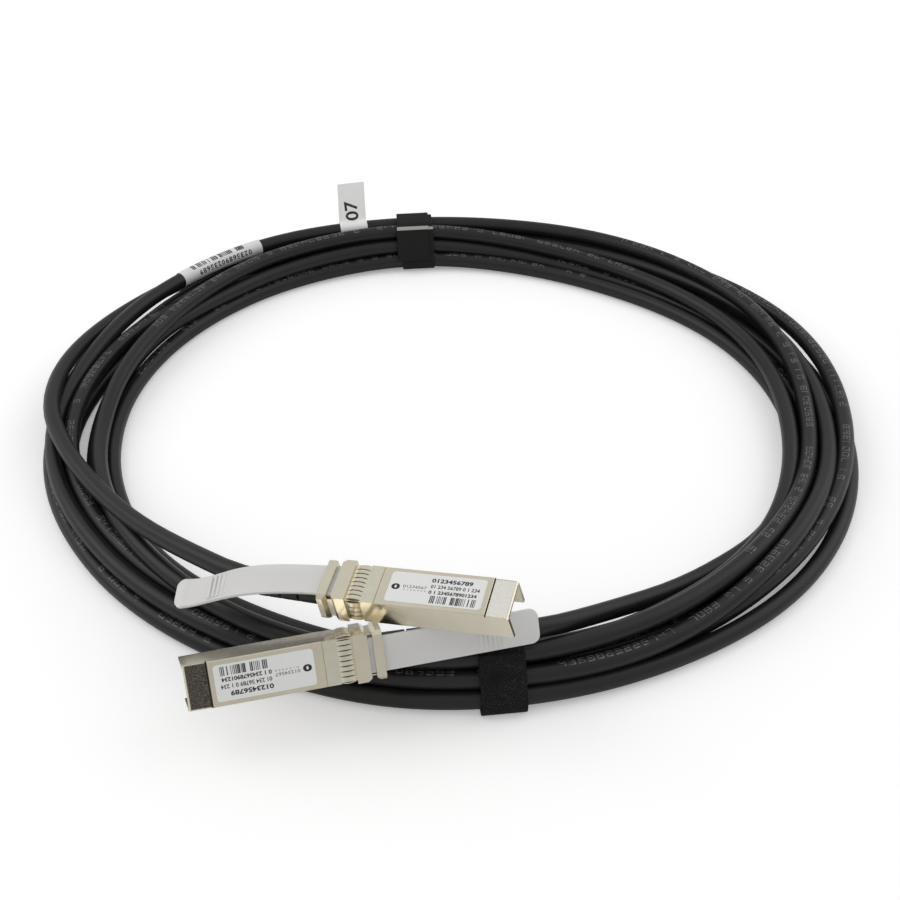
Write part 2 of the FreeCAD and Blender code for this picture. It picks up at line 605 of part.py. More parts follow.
def ring_height(level, bearing):
    """Height of a centre line at a level, raised where the ring passes over a tie's lower run."""
    rise = 0.0
    for tie_bearing in (FRONT_TIE_DEG, BACK_TIE_DEG):
        away = (bearing - tie_bearing + 180) % 360 - 180
        rise += (TIE_T + TIE_SLACK) * exp(-(away / TIE_RISE_DEG) ** 2)
    return CABLE_D * (0.5 + max(0.0, level)) + rise


def lay_at(angle):
    """Radius and height of the centre line at an angle in degrees, counted from the first turn."""
    step = len(BEARINGS)
    turn = int((angle + 90) // 360)
    local = angle - 360 * turn
    index = max(i for i in range(step) if BEARINGS[i] <= local)

    def knot(offset):
        place = max(0, min(turn * step + index + offset, step * len(LAY) - 1))
        row, column = divmod(place, step)
        return BEARINGS[column] + 360 * row, LAY[row][column]

    (a0, p0), (a1, p1), (a2, p2), (a3, p3) = knot(-1), knot(0), knot(1), knot(2)
    t = (angle - a1) / (a2 - a1) if a2 > a1 else 0.0
    result = []
    for i in (0, 1):
        m1 = (p2[i] - p0[i]) / (a2 - a0) * (a2 - a1) if a2 > a0 else 0.0
        m2 = (p3[i] - p1[i]) / (a3 - a1) * (a2 - a1) if a3 > a1 else 0.0
        result.append((2 * t ** 3 - 3 * t ** 2 + 1) * p1[i] + (t ** 3 - 2 * t ** 2 + t) * m1
                      + (3 * t ** 2 - 2 * t ** 3) * p2[i] + (t ** 3 - t ** 2) * m2)
    return ring_radius(result[0]), ring_height(result[1], angle)


def strands(bearing):
    """Radius and height of every strand that the ring has at a bearing."""
    found = []
    for turn in range(len(LAY)):
        angle = bearing + 360 * turn
        joined = turn > 0 or bearing >= COIL_FROM
        leaving = turn == len(LAY) - 1 and bearing > COIL_TO
        if joined and not leaving:
            found.append(lay_at(angle))
    return found


def hull_points(bearing, grow):
    """Outer shape of the ring's section, met from a fixed set of directions."""
    centres = strands(bearing)
    points = []
    for side in range(HULL_SIDES):
        turn = 2 * pi * (side + 0.5) / HULL_SIDES
        u = cos(turn)
        v = sin(turn)
        r, z = max(centres, key=lambda c: c[0] * u + c[1] * v)
        reach = CABLE_D / 2 + grow
        points.append((r + u * reach, max(z + v * reach, 0.0)))
    return points


def around(bearing, radius, height):
    """Point at a bearing, radius and height about the ring's centre."""
    turn = radians(bearing)
    return Vector(radius * cos(turn), radius * sin(turn), height)


def coil_solid():
    """Closed solid of the ring's outer shape, lofted through sections round the whole turn."""
    halves = []
    for start in (-90, 90):
        wires = []
        for step in range(0, 181, HULL_STEP):
            bearing = start + step
            if bearing >= 270:
                bearing -= 360
            ring = [around(bearing, r, z) for r, z in hull_points(bearing, 0.0)]
            wires.append(Part.makePolygon(ring + [ring[0]]))
        halves.append(Part.makeLoft(wires, True, True))
    return halves[0].fuse(halves[1]).removeSplitter()


def tube(points, diameter, name):
    """Cable tube along straight runs joined by tangent arcs; prints the bend radii."""
    edges = []
    radii = []
    start = points[0]
    for i in range(1, len(points) - 1):
        back = points[i - 1] - points[i]
        ahead = points[i + 1] - points[i]
        shorter = min(back.Length, ahead.Length)
        back.normalize()
        ahead.normalize()
        turn = pi - back.getAngle(ahead)
        trim = 0.45 * shorter
        radii.append(trim / tan(turn / 2))
        enter = points[i] + back * trim
        leave = points[i] + ahead * trim
        middle = back + ahead
        middle.normalize()
        centre = points[i] + middle * hypot(trim, radii[-1])
        mid = centre - middle * radii[-1]
        edges.append(Part.LineSegment(start, enter).toShape())
        edges.append(Part.Arc(enter, mid, leave).toShape())
        start = leave
    edges.append(Part.LineSegment(start, points[-1]).toShape())
    path = Part.Wire(edges)
    direction = points[1] - points[0]
    profile = Part.Wire(Part.makeCircle(diameter / 2, points[0], direction))
    solid = path.makePipeShell([profile], True, True)
    ideal = pi * diameter ** 2 / 4 * path.Length
    print(name, "length %.1f" % path.Length, "volume ratio %.4f" % (solid.Volume / ideal),
          "radii", ["%.0f" % r for r in radii])
    return solid


def place(end):
    """Placement of a module at its end of the cable."""
    along, out, lift, turn = SEAT[end]
    base = Vector(along, -RING_R - out, PILE_LEVELS * CABLE_D + lift)
    return Placement(base, Rotation(*turn))


def tail(end):
    """Free stretch of cable from inside a module to the ring."""
    seat = place(end)
    start = seat.multVec(Vector(JACKET_X + FIT, 0, CABLE_Z))
    leave = seat.multVec(Vector(MODULE_L + BOOT_L + FREE_EXIT, 0, CABLE_Z))
    route = [start, leave]
    for bearing, out, level in FREE_A if end == "a" else FREE_B:
        route.append(around(bearing, ring_radius(out), CABLE_D * (0.5 + level)))
    return tube(route, CABLE_D, "tail_" + end)


# ---- ties and tags --------------------------------------------------------------------------
def tie(bearing, lap_side, lap_from):
    """Strap closed round the ring's section; its end is lapped over on one side of the ring."""
    tangent = around(bearing + 90, 1, 0)

    def sleeve_of(grow):
        ring = [around(bearing, r, z) for r, z in hull_points(bearing, grow)]
        solid = prism(ring, tangent * TIE_W)
        solid.translate(tangent * (-TIE_W / 2))
        return solid

    outer = sleeve_of(TIE_SLACK + TIE_T)
    section = hull_points(bearing, 0.0)
    middle = sum(r for r, _ in section) / len(section)
    height = sum(z for _, z in section) / len(section)
    corner = Part.makeBox(RING_R, 2 * TIE_W, RING_R, Vector(lap_from, -TIE_W, height))
    if lap_side < 0:
        corner = corner.mirror(Vector(0, 0, 0), Vector(1, 0, 0))
    corner.translate(Vector(middle, 0, 0))
    corner.rotate(Vector(0, 0, 0), Vector(0, 0, 1), bearing)
    lap = sleeve_of(TIE_SLACK + TIE_T + TIE_LAP).common(corner)
    return outer.fuse(lap).cut(sleeve_of(TIE_SLACK)).removeSplitter()


def strand_frame(angle):
    """Centre and direction of one strand of the ring at its own angle."""
    before = around(angle - 1, *lay_at(angle - 1))
    after = around(angle + 1, *lay_at(angle + 1))
    direction = after - before
    direction.normalize()
    return around(angle, *lay_at(angle)), direction


def sleeve(first, last):
    """Thin film sleeve on the tagged strand between two bearings, along its curve."""
    bearings = (first, (first + last) / 2, last)
    ends = [strand_frame(bearing + 360 * TAGGED_TURN) for bearing in bearings]
    edge = Part.Arc(ends[0][0], ends[1][0], ends[2][0]).toShape()
    start = ends[0][0]
    heading = edge.tangentAt(edge.FirstParameter)
    rings = []
    for radius in (CABLE_D / 2 + SLEEVE_T, CABLE_D / 2 + BORE_FIT):
        disc = Part.Face(Part.Wire(Part.makeCircle(radius, start, heading)))
        sweep = degrees(edge.LastParameter - edge.FirstParameter)
        rings.append(disc.revolve(edge.Curve.Center, edge.Curve.Axis, sweep))
    return rings[0].cut(rings[1])


def wrap_label():
    """Printed sleeve round the tagged strand."""
    return sleeve(*WRAP_DEG)


def length_flag():
    """Film flag: wrapped once round the tagged strand, its ends stuck back to back."""
    centre, direction = strand_frame(FLAG_DEG + 360 * TAGGED_TURN)
    radius = hypot(centre.x, centre.y)
    half = degrees(FLAG_W / 2 / radius)
    ring = sleeve(FLAG_DEG - half, FLAG_DEG + half)
    outward = around(FLAG_DEG, 1, 0)
    lean = radians(FLAG_LEAN)
    rise = outward * sin(lean) + Vector(0, 0, 1) * cos(lean)
    rise = rise - direction * rise.dot(direction)
    rise.normalize()
    side = rise.cross(direction)
    corner = centre + rise * (CABLE_D / 2 + 0.1) - direction * (FLAG_W / 2) - side * (FLAG_T / 2)
    plate = prism([corner, corner + direction * FLAG_W, corner + direction * FLAG_W + side * FLAG_T,
                   corner + side * FLAG_T], (rise + direction * FLAG_SLANT) * FLAG_H)
    return ring.fuse(plate).removeSplitter()


# ---- writing --------------------------------------------------------------------------------
def save(shape, name):
    """Move a shape to the row's origin and write it as its own node."""
    moved = shape.copy()
    moved.translate(-ORIGIN)
    moved.exportStep("parts/" + name + ".step")


def save_module(end):
    """Write every piece of one module, placed at its end of the cable."""
    pieces = {
        "lower_shell": lower_shell(), "upper_shell": upper_shell(), "collar": collar(),
        "card": card(), "contacts": contacts(), "cores": cores(), "ferrule": ferrule(),
        "boot": boot(), "slider": slider(), "spring": return_spring(), "screws": screws(),
        "label": label(), "pull_tab": pull_tab(end),
    }
    for name, shape in pieces.items():
        shape.Placement = place(end).multiply(shape.Placement)
        save(shape, name + "_" + end)


def main():
    """Build and write the whole cable assembly."""
    os.makedirs("parts", exist_ok=True)
    for end in SEAT:
        save_module(end)
        save(tail(end), "cable_tail_" + end)
    save(coil_solid(), "cable_coil")
    save(tie(FRONT_TIE_DEG, 1, FRONT_LAP), "front_tie")
    save(tie(BACK_TIE_DEG, -1, BACK_LAP), "back_tie")
    save(wrap_label(), "wrap_label")
    save(length_flag(), "length_flag")


main()
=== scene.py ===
import logging
from dataclasses import dataclass
from enum import Enum
from math import cos, exp, pi, radians, sin
from typing import Sequence

import bpy
from mathutils import Euler, Matrix, Vector


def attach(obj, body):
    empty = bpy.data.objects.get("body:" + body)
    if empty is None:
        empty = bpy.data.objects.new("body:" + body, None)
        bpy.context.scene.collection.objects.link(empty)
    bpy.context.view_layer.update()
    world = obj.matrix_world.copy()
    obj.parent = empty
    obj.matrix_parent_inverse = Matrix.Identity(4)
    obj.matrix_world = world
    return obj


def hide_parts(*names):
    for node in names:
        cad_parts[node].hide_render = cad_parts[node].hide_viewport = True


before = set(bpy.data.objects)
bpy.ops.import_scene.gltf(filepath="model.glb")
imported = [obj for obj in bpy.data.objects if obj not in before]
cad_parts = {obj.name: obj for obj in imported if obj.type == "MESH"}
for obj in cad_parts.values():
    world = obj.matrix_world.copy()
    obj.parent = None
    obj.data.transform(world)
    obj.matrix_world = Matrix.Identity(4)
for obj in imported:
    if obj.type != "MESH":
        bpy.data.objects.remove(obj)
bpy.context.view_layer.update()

# Looks of a direct attach copper cable: two pluggable modules on one round cable, which is wound
# into a flat ring and held by two hook-and-loop ties. Metres, +Z up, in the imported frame.

MM = 0.001
ROOT = "assembly"
ORIGIN = Vector((-26.865, -118.71, 27.68)) * MM      # the frame's origin, about the ring's centre
MIN_STEP = 0.02 * MM
DEGREES = 180.0 / pi
LOG = logging.getLogger("cable")
Pair = tuple[float, float]
Triple = tuple[float, float, float]
Piece = bpy.types.Object
Material = bpy.types.Material
Socket = bpy.types.NodeSocket


# ---- places ----
@dataclass(frozen=True)
class Seat:
    """Where a module lies: its nose about the ring's front point, and its turn in degrees."""

    along: float
    out: float
    height: float
    yaw: float
    pitch: float
    roll: float

    def matrix(self) -> Matrix:
        """Placement of the module's own frame.

        Returns:
            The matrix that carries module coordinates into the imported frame.
        """
        base = Vector((self.along, -RING_RADIUS - self.out, self.height)) - ORIGIN
        euler = Euler((radians(self.roll), radians(self.pitch), radians(self.yaw)), "XYZ")
        return Matrix.Translation(base) @ euler.to_matrix().to_4x4()


RING_RADIUS = 125.0 * MM
CABLE_WIDTH = 5.9 * MM
PILE_HEIGHT = 2.73 * CABLE_WIDTH
SEATS = {
    "a": Seat(-74.65 * MM, 5.34 * MM, PILE_HEIGHT + 2.5 * MM, 13.0, -1.5, 65.5),
    "b": Seat(19.64 * MM, -2.36 * MM, PILE_HEIGHT + 18.25 * MM, 164.5, 6.4, -9.2),
}

# Stations of a module along its own X, from the nose.
NOSE_RIM = 2.1 * MM
HOOD_END = 7.75 * MM
HOOD_LOW = 7.5 * MM
HOOD_SIDE = 6.35 * MM
LABEL_START = 9.5 * MM
LABEL_END = 36.9 * MM
LABEL_LENGTH = LABEL_END - LABEL_START
LABEL_WIDTH = 10.6 * MM
LABEL_TOP = 8.6 * MM
INK_GAP = 0.008 * MM
INK_THICKNESS = 0.008 * MM
INK_TONES = ((0.010, 0.010, 0.010), (0.020, 0.020, 0.020))
MODULE_END = 56.2 * MM


class Side(Enum):
    """Side of the ring's section that a strap shows upright: its outer or its inner side."""

    OUTSIDE = -1.0
    INSIDE = 1.0


@dataclass(frozen=True)
class Ring:
    """Lay of the wound cable.

    Each row of the lay is one turn, met at fixed bearings: how far its centre line lies outside
    the ring's mean radius and above the lowest level, both in cable diameters. The wound part
    starts at `first` on the first turn and ends at `last` on the last one; a cut through the ring
    meets these two turns from `met_from` on and up to `met_to`.
    """

    radius: float = RING_RADIUS
    first: float = -25.0
    last: float = 171.5
    met_from: float = -36.0
    met_to: float = 178.0
    tie_rise: float = 1.05 * MM
    tie_spread: float = 14.0
    tie_bearings: Pair = (-83.0, 97.0)
    tagged_turn: int = 4
    bearings: tuple[float, ...] = (-90, -60, -30, 0, 30, 60, 96, 120, 135, 150, 165, 180, 210, 240)
    lay: tuple[tuple[Pair, ...], ...] = (
        ((-4.91, 0.4), (-4.3, 0), (-2.07, 0), (-0.41, 0), (0.33, 0), (0.26, 0), (1.06, 0),
         (1.04, 0), (0.66, 0), (0.22, 0), (-0.33, 0), (-0.93, 0), (-2.04, 0), (-3.3, 0)),
        ((-3.24, 0), (-2.93, 0), (-1.07, 0), (0.61, 0), (1.35, 0), (1.28, 0.02), (1.57, 0.87),
         (1.41, 0.88), (0.95, 0.86), (0.98, 0.75), (0.55, 0.4), (0.07, 0), (-1.04, 0), (-2.3, 0)),
        ((-2.22, 0), (-1.94, 0), (-0.07, 0), (1.63, 0), (2.37, 0), (2.36, 0), (2.09, 0),
         (2.19, 0.1), (1.95, 0.72), (2.37, 0.88), (2, 0.95), (1.48, 0.92), (-0.52, 0.88),
         (-1.8, 0.87)),
        ((-1.72, 0.87), (-2.19, 0.92), (-1.56, 0.95), (-0.91, 0.97), (0.69, 0.97), (1.48, 0.97),
         (2.09, 1.74), (2.09, 1.78), (1.36, 1.76), (0.56, 1.65), (0.1, 1.32), (-0.37, 0.88),
         (-1.05, 1.72), (-1.3, 1.73)),
        ((-1.22, 1.73), (-1.41, 1.76), (-0.93, 1.78), (0.24, 1.05), (2.33, 1.8), (3.41, 1.8),
         (3.13, 1.76), (3.89, 1.75), (3.62, 1.74), (3.26, 1.6), (2.98, 1.02), (2.5, 0.92),
         (0.44, 0.88), (-0.78, 0.87)),
        ((-0.7, 0.87), (-0.45, 0.92), (0.09, 1.73), (1.33, 1), (2.83, 0.95), (2.85, 0.92),
         (2.61, 0.87), (3, 0.9), (3.5, 0.54), (3.15, 0.1), (3, 0.03), (2.7, 0), (0.91, 0),
         (-0.26, 0)),
        ((-0.19, 0), (0.04, 0), (1.48, 0), (2.67, 0), (3.37, 0), (3.37, 0), (3.13, 0), (3.22, 0),
         (2.65, 0), (2, 0), (1.88, 0), (1.67, 0), (-0.06, 0), (-1.28, 0)),
        ((-1.2, 0), (-1, 0.04), (0.54, 0.87), (2.44, 0.97), (4.44, 0.9), (3.94, 0.9), (3.65, 0.87),
         (4.3, 0.85), (4.6, 0.8), (4.72, 0.8), (4, 1.38), (2.66, 1.9), (-0.6, 2.1), (-2, 2.9)),
    )

    def around(self, bearing: float, radius: float, height: float) -> Vector:
        """Point at a bearing in degrees, a radius and a height above the surface."""
        turn = radians(bearing)
        return Vector((radius * cos(turn), radius * sin(turn), height)) - ORIGIN

    def berth(self, bearing: float, out: float, level: float) -> Vector:
        """Point given in cable diameters outside the mean radius and above the lowest level."""
        height = CABLE_WIDTH * (0.5 + level)
        return self.around(bearing, self.radius + CABLE_WIDTH * out, height)

    def height(self, level: float, bearing: float) -> float:
        """Height of a centre line, raised where the ring passes over a tie's lower run.

        Args:
            level: Diameters above the lowest level.
            bearing: Degrees about the ring's centre.

        Returns:
            Height above the surface.
        """
        rise = 0.0
        for tie in self.tie_bearings:
            away = (bearing - tie + 180) % 360 - 180
            rise += self.tie_rise * exp(-((away / self.tie_spread) ** 2))
        return CABLE_WIDTH * (0.5 + max(0.0, level)) + rise

    def lay_at(self, angle: float) -> Pair:
        """Radius and height of the centre line at an angle counted from the first turn.

        Args:
            angle: Degrees, past 360 for each further turn.

        Returns:
            Radius and height.
        """
        count = len(self.bearings)
        turn = int((angle - self.bearings[0]) // 360)
        local = angle - 360 * turn
        index = max(i for i in range(count) if self.bearings[i] <= local)
        spots = []
        for offset in (-1, 0, 1, 2):
            spot = max(0, min(turn * count + index + offset, count * len(self.lay) - 1))
            row, column = divmod(spot, count)
            spots.append((self.bearings[column] + 360 * row, self.lay[row][column]))
        (a0, p0), (a1, p1), (a2, p2), (a3, p3) = spots
        share = (angle - a1) / (a2 - a1) if a2 > a1 else 0.0
        result = []
        for i in (0, 1):
            leave = (p2[i] - p0[i]) / (a2 - a0) * (a2 - a1) if a2 > a0 else 0.0
            enter = (p3[i] - p1[i]) / (a3 - a1) * (a2 - a1) if a3 > a1 else 0.0
            result.append((2 * share ** 3 - 3 * share ** 2 + 1) * p1[i]
                          + (share ** 3 - 2 * share ** 2 + share) * leave
                          + (3 * share ** 2 - 2 * share ** 3) * p2[i]
                          + (share ** 3 - share ** 2) * enter)
        return self.radius + CABLE_WIDTH * result[0], self.height(result[1], angle)

    def strands(self, bearing: float) -> list[Pair]:
        """Radius and height of every strand at a bearing.

        Args:
            bearing: Degrees from -90 up to 270.

        Returns:
            One pair for each strand.
        """
        found = []
        for turn in range(len(self.lay)):
            started = turn > 0 or bearing >= self.met_from
            if started and (turn < len(self.lay) - 1 or bearing <= self.met_to):
                found.append(self.lay_at(bearing + 360 * turn))
        return found

    def strand(self, angle: float) -> Vector:
        """Point of the wound cable's centre line at an angle counted from the first turn."""
        return self.around(angle, *self.lay_at(angle))

    def arc(self, first: float, last: float) -> tuple[Matrix, float]:
        """Circle through three points of the tagged strand.

        Args:
            first: Bearing of its first point.
            last: Bearing of its last point.

        Returns:
            The circle's placement, with Z along its axis and X towards its middle point, and its
            radius.
        """
        start, middle, end = (self.strand(bearing + 360.0 * self.tagged_turn)
                              for bearing in (first, (first + last) / 2, last))
        a = start - middle
        b = end - middle
        axis = b.cross(a)
        to_centre = (b * a.length_squared - a * b.length_squared).cross(axis) * -1.0
        centre = middle + to_centre / (2 * axis.length_squared)
        x = (middle - centre).normalized()
        z = axis.normalized() * (1.0 if axis.z > 0 else -1.0)
        y = z.cross(x)
        turn = Matrix((x, y, z)).transposed().to_4x4()
        return Matrix.Translation(centre) @ turn, (middle - centre).length

    def outline(self, bearing: float, grow: float, sides: int) -> list[Pair]:
        """Outer shape of the ring's section, met from evenly turned directions.

        Args:
            bearing: Degrees about the ring's centre.
            grow: Distance outside the strands.
            sides: Number of directions.

        Returns:
            Radius and height of each point, anticlockwise from the outer side.
        """
        centres = self.strands(bearing)
        points = []
        for side in range(sides):
            turn = 2 * pi * (side + 0.5) / sides
            radius, height = max(centres, key=lambda c: c[0] * cos(turn) + c[1] * sin(turn))
            reach = CABLE_WIDTH / 2 + grow
            points.append((radius + cos(turn) * reach, max(height + sin(turn) * reach, 0.0)))
        return points


RING = Ring()


# ---- shader arithmetic ----
class Value:
    """One number socket of a node tree; arithmetic on it adds Math nodes."""

    def __init__(self, graph: "Graph", socket: Socket) -> None:
        """Keep the socket and its graph."""
        self.graph = graph
        self.socket = socket

    def math(self, operation: str, *others: "Value | float", clamp: bool = False) -> "Value":
        """Apply one Math operation to this value.

        Args:
            operation: Name of the Math node's operation.
            others: Further operands.
            clamp: Whether the result is held between 0 and 1.

        Returns:
            The result.
        """
        settings = {"operation": operation, "use_clamp": clamp}
        node = self.graph.node("ShaderNodeMath", settings, dict(enumerate((self, *others))))
        return Value(self.graph, node.outputs[0])

    def __add__(self, other: "Value | float") -> "Value":
        """Sum."""
        return self.math("ADD", other)

    __radd__ = __add__

    def __sub__(self, other: "Value | float") -> "Value":
        """Difference."""
        return self.math("SUBTRACT", other)

    def __rsub__(self, other: float) -> "Value":
        """Difference from a number."""
        return self.math("MULTIPLY", -1.0) + other

    def __mul__(self, other: "Value | float") -> "Value":
        """Product."""
        return self.math("MULTIPLY", other)

    __rmul__ = __mul__

    def __truediv__(self, other: "Value | float") -> "Value":
        """Quotient."""
        return self.math("DIVIDE", other)

    def above(self, limit: "Value | float") -> "Value":
        """One where the value is over a limit, else nought."""
        return self.math("GREATER_THAN", limit)

    def below(self, limit: "Value | float") -> "Value":
        """One where the value is under a limit, else nought."""
        return self.math("LESS_THAN", limit)

    def within(self, low: float, high: float) -> "Value":
        """One where the value lies between two limits, else nought."""
        return self.above(low) * self.below(high)

    def floor(self) -> "Value":
        """Largest whole number that isn't over the value."""
        return self.math("FLOOR")

    def fract(self) -> "Value":
        """Part after the point."""
        return self.math("FRACT")

    def sine(self) -> "Value":
        """Sine of an angle in radians."""
        return self.math("SINE")

    def size(self) -> "Value":
        """Value without its sign."""
        return self.math("ABSOLUTE")

    def ramp(self, low: float, high: float) -> "Value":
        """Rise from 0 at one level to 1 at another, held outside them."""
        return ((self - low) / (high - low)).math("ADD", 0.0, clamp=True)


class Graph:
    """A node tree, built by expressions."""

    def __init__(self, tree: bpy.types.NodeTree) -> None:
        """Empty a node tree and keep it."""
        self.tree = tree
        self.tree.nodes.clear()

    def node(self, kind: str, settings: dict | None = None,
             sockets: dict | None = None) -> bpy.types.Node:
        """Add a node.

        Args:
            kind: Node type.
            settings: Properties, set before the sockets.
            sockets: Input name or index to a number, a colour, a socket or a Value.

        Returns:
            The new node.
        """
        node = self.tree.nodes.new(kind)
        for key, value in (settings or {}).items():
            setattr(node, key, value)
        for key, value in (sockets or {}).items():
            socket = node.inputs[key]
            if isinstance(value, Value):
                self.tree.links.new(value.socket, socket)
            elif isinstance(value, Socket):
                self.tree.links.new(value, socket)
            else:
                socket.default_value = value
        return node

    def place(self, home: Matrix | None = None) -> Socket:
        """Object coordinates, turned into a module's own frame when its placement is given.

        Args:
            home: Placement of the module, if the pattern follows one.

        Returns:
            The coordinate socket.
        """
        coords = self.node("ShaderNodeTexCoord").outputs["Object"]
        if home is None:
            return coords
        back = home.inverted()
        sockets = {"Vector": coords, "Location": back.to_translation(),
                   "Rotation": back.to_euler("XYZ")}
        return self.node("ShaderNodeMapping", {"vector_type": "POINT"}, sockets).outputs[0]

    def split(self, vector: Socket) -> tuple[Value, Value, Value]:
        """The three parts of a vector."""
        parts = self.node("ShaderNodeSeparateXYZ", None, {0: vector}).outputs
        return tuple(Value(self, part) for part in parts)

    def join(self, x: Value | float, y: Value | float, z: Value | float) -> Socket:
        """A vector of three values."""
        return self.node("ShaderNodeCombineXYZ", None, {0: x, 1: y, 2: z}).outputs[0]

    def noise(self, vector: Socket, scale: float, detail: float = 2.0,
              roughness: float = 0.5) -> Value:
        """Soft noise of about 0 to 1, with a number of cells to the metre."""
        sockets = {"Vector": vector, "Scale": scale, "Detail": detail, "Roughness": roughness}
        return Value(self, self.node("ShaderNodeTexNoise", None, sockets).outputs["Fac"])

    def chance(self, vector: Socket) -> Value:
        """One even random number for each place."""
        node = self.node("ShaderNodeTexWhiteNoise", {"noise_dimensions": "3D"}, {"Vector": vector})
        return Value(self, node.outputs["Value"])

    def bars(self, along: Value, count: float, seed: float) -> Value:
        """Upright bars of mixed widths.

        Args:
            along: Position along the code, from 0 to 1.
            count: Number of places for a bar.
            seed: Picks the pattern.

        Returns:
            One on a bar, else nought.
        """
        place = along * count
        cell = place.floor()
        width = self.chance(self.join(cell, seed, 1.0)) * 0.60 + 0.32
        present = self.chance(self.join(cell, seed, 2.0)).above(0.16)
        return place.fract().below(width) * present

    def blend(self, share: Value | float, low: Sequence[float] | Socket,
              high: Sequence[float] | Socket) -> Socket:
        """Colour between two colours.

        Args:
            share: 0 for the first colour and 1 for the second.
            low: First colour.
            high: Second colour.

        Returns:
            The mixed colour.
        """
        low, high = (end if isinstance(end, Socket) else (*end, 1.0) for end in (low, high))
        node = self.node("ShaderNodeMix", {"data_type": "RGBA"}, {"Factor": share, 6: low, 7: high})
        return node.outputs[2]

    def seen(self) -> Value:
        """One where the camera looks straight at it, else nought."""
        return Value(self, self.node("ShaderNodeLightPath").outputs["Is Camera Ray"])

    def bump(self, height: Value, depth: float, strength: float = 1.0) -> Socket:
        """Normal that follows a height of 0 to 1 over a depth in metres."""
        sockets = {"Height": height, "Distance": depth, "Strength": strength}
        return self.node("ShaderNodeBump", None, sockets).outputs[0]


class Paint(Graph):
    """A material's node tree."""

    def __init__(self, name: str) -> None:
        """Start an empty tree for a named material."""
        self.material = bpy.data.materials.new(name)
        self.material.use_nodes = True
        super().__init__(self.material.node_tree)

    def finish(self, sockets: dict) -> Material:
        """Close the tree with a Principled surface.

        Args:
            sockets: Inputs of the Principled node.

        Returns:
            The material.
        """
        surface = self.node("ShaderNodeBsdfPrincipled", None, sockets)
        self.node("ShaderNodeOutputMaterial", None, {"Surface": surface.outputs[0]})
        return self.material


# ---- finishes ----
@dataclass(frozen=True)
class Finish:
    """A finish of some pieces; each kind works out what feeds its own surface."""

    name: str

    def surface(self, graph: Paint, place: Socket) -> dict:
        """Add the finish's nodes.

        Args:
            graph: The material's tree.
            place: The coordinates that the pattern follows.

        Returns:
            Inputs of the Principled node.
        """
        raise NotImplementedError

    def make(self, home: Matrix | None = None) -> Material:
        """Build the material.

        Args:
            home: Placement that the pattern follows, if any.

        Returns:
            The material.
        """
        graph = Paint(self.name)
        return graph.finish(self.surface(graph, graph.place(home)))


@dataclass(frozen=True)
class CastNickel(Finish):
    """Satin nickel plate over fine-grained die-cast zinc, with a coarser skin over the hood."""

    # Hood tones, given for each module; module a's darker pair is a painted reflection of dark
    # surroundings.
    hood_bright: Triple = (0.98, 0.965, 0.90)
    hood_dull: Triple = (0.86, 0.84, 0.77)
    bright: Triple = (0.86, 0.80, 0.655)
    dull: Triple = (0.72, 0.66, 0.53)
    seam: float = 0.25 * MM
    grain: float = 3800.0
    cast_grain: float = 2700.0

    def surface(self, graph: Paint, place: Socket) -> dict:
        """See Finish.surface."""
        x, y, z = graph.split(place)
        hood = x.below(HOOD_END) * x.above(NOSE_RIM) * z.above(HOOD_LOW) * y.size().below(HOOD_SIDE)
        fine = graph.noise(place, self.grain, 3.0, 0.6)
        cast = graph.noise(place, self.cast_grain, 2.0, 0.7).ramp(0.36, 0.64)
        drift = graph.noise(place, 160.0)
        skin = fine * (1.0 - hood) * 0.35 + cast * hood
        share = (drift * 0.7 + fine * 0.5 - 0.1).ramp(0.0, 1.0)
        plate = graph.blend(share, self.dull, self.bright)
        grainy = graph.blend(cast, self.hood_dull, self.hood_bright)
        tone = graph.blend(hood, plate, grainy)
        gap = x.within(HOOD_END - 0.08 * MM, HOOD_END + self.seam) * z.above(HOOD_LOW)
        tone = graph.blend(gap, tone, (0.035, 0.032, 0.028))
        rough = 0.17 + fine * 0.07 + hood * 0.18
        return {"Base Color": tone, "Metallic": 1.0, "Roughness": rough,
                "Normal": graph.bump(skin, 0.05 * MM, 0.5)}


@dataclass(frozen=True)
class SpringSheet(Finish):
    """Bright plated spring sheet, drawn along the fingers."""

    colour: Triple = (0.86, 0.82, 0.68)

    def surface(self, graph: Paint, place: Socket) -> dict:
        """See Finish.surface."""
        x, y, z = graph.split(place)
        drawn = graph.noise(graph.join(x * 0.1, y, z), 5000.0)
        shade = graph.noise(place, 420.0)
        tone = graph.blend(shade, (0.74, 0.70, 0.57), self.colour)
        return {"Base Color": tone, "Metallic": 1.0, "Roughness": 0.16 + drawn * 0.08,
                "Normal": graph.bump(drawn, 0.004 * MM, 0.5)}


@dataclass(frozen=True)
class TabNylon(Finish):
    """Milky nylon of the pull tabs."""

    colour: Triple = (0.88, 0.87, 0.845)

    def surface(self, graph: Paint, place: Socket) -> dict:
        """See Finish.surface."""
        flow = graph.noise(place, 90.0)
        grain = graph.noise(place, 2600.0)
        tone = graph.blend(flow, (0.83, 0.82, 0.80), self.colour)
        return {"Base Color": tone, "Roughness": 0.34 + grain * 0.1,
                "Subsurface Weight": 0.6, "Subsurface Radius": (0.004, 0.004, 0.004),
                "Subsurface Scale": 0.4, "Transmission Weight": 0.12,
                "Normal": graph.bump(grain, 0.006 * MM, 0.5)}


# Strokes of a plain numeral: upright or level, its place, its two ends, and the digits without it.
NUMERAL_STROKES = (
    (False, 0.08, 0.0, 1.0, (1, 4)),
    (False, 0.50, 0.0, 1.0, (0, 1, 7)),
    (False, 0.92, 0.0, 1.0, (1, 4, 7)),
    (True, 0.08, 0.0, 0.5, (1, 2, 3, 7)),
    (True, 0.08, 0.5, 1.0, (1, 3, 4, 5, 7, 9)),
    (True, 0.92, 0.0, 0.5, (5, 6)),
    (True, 0.92, 0.5, 1.0, (2,)),
)


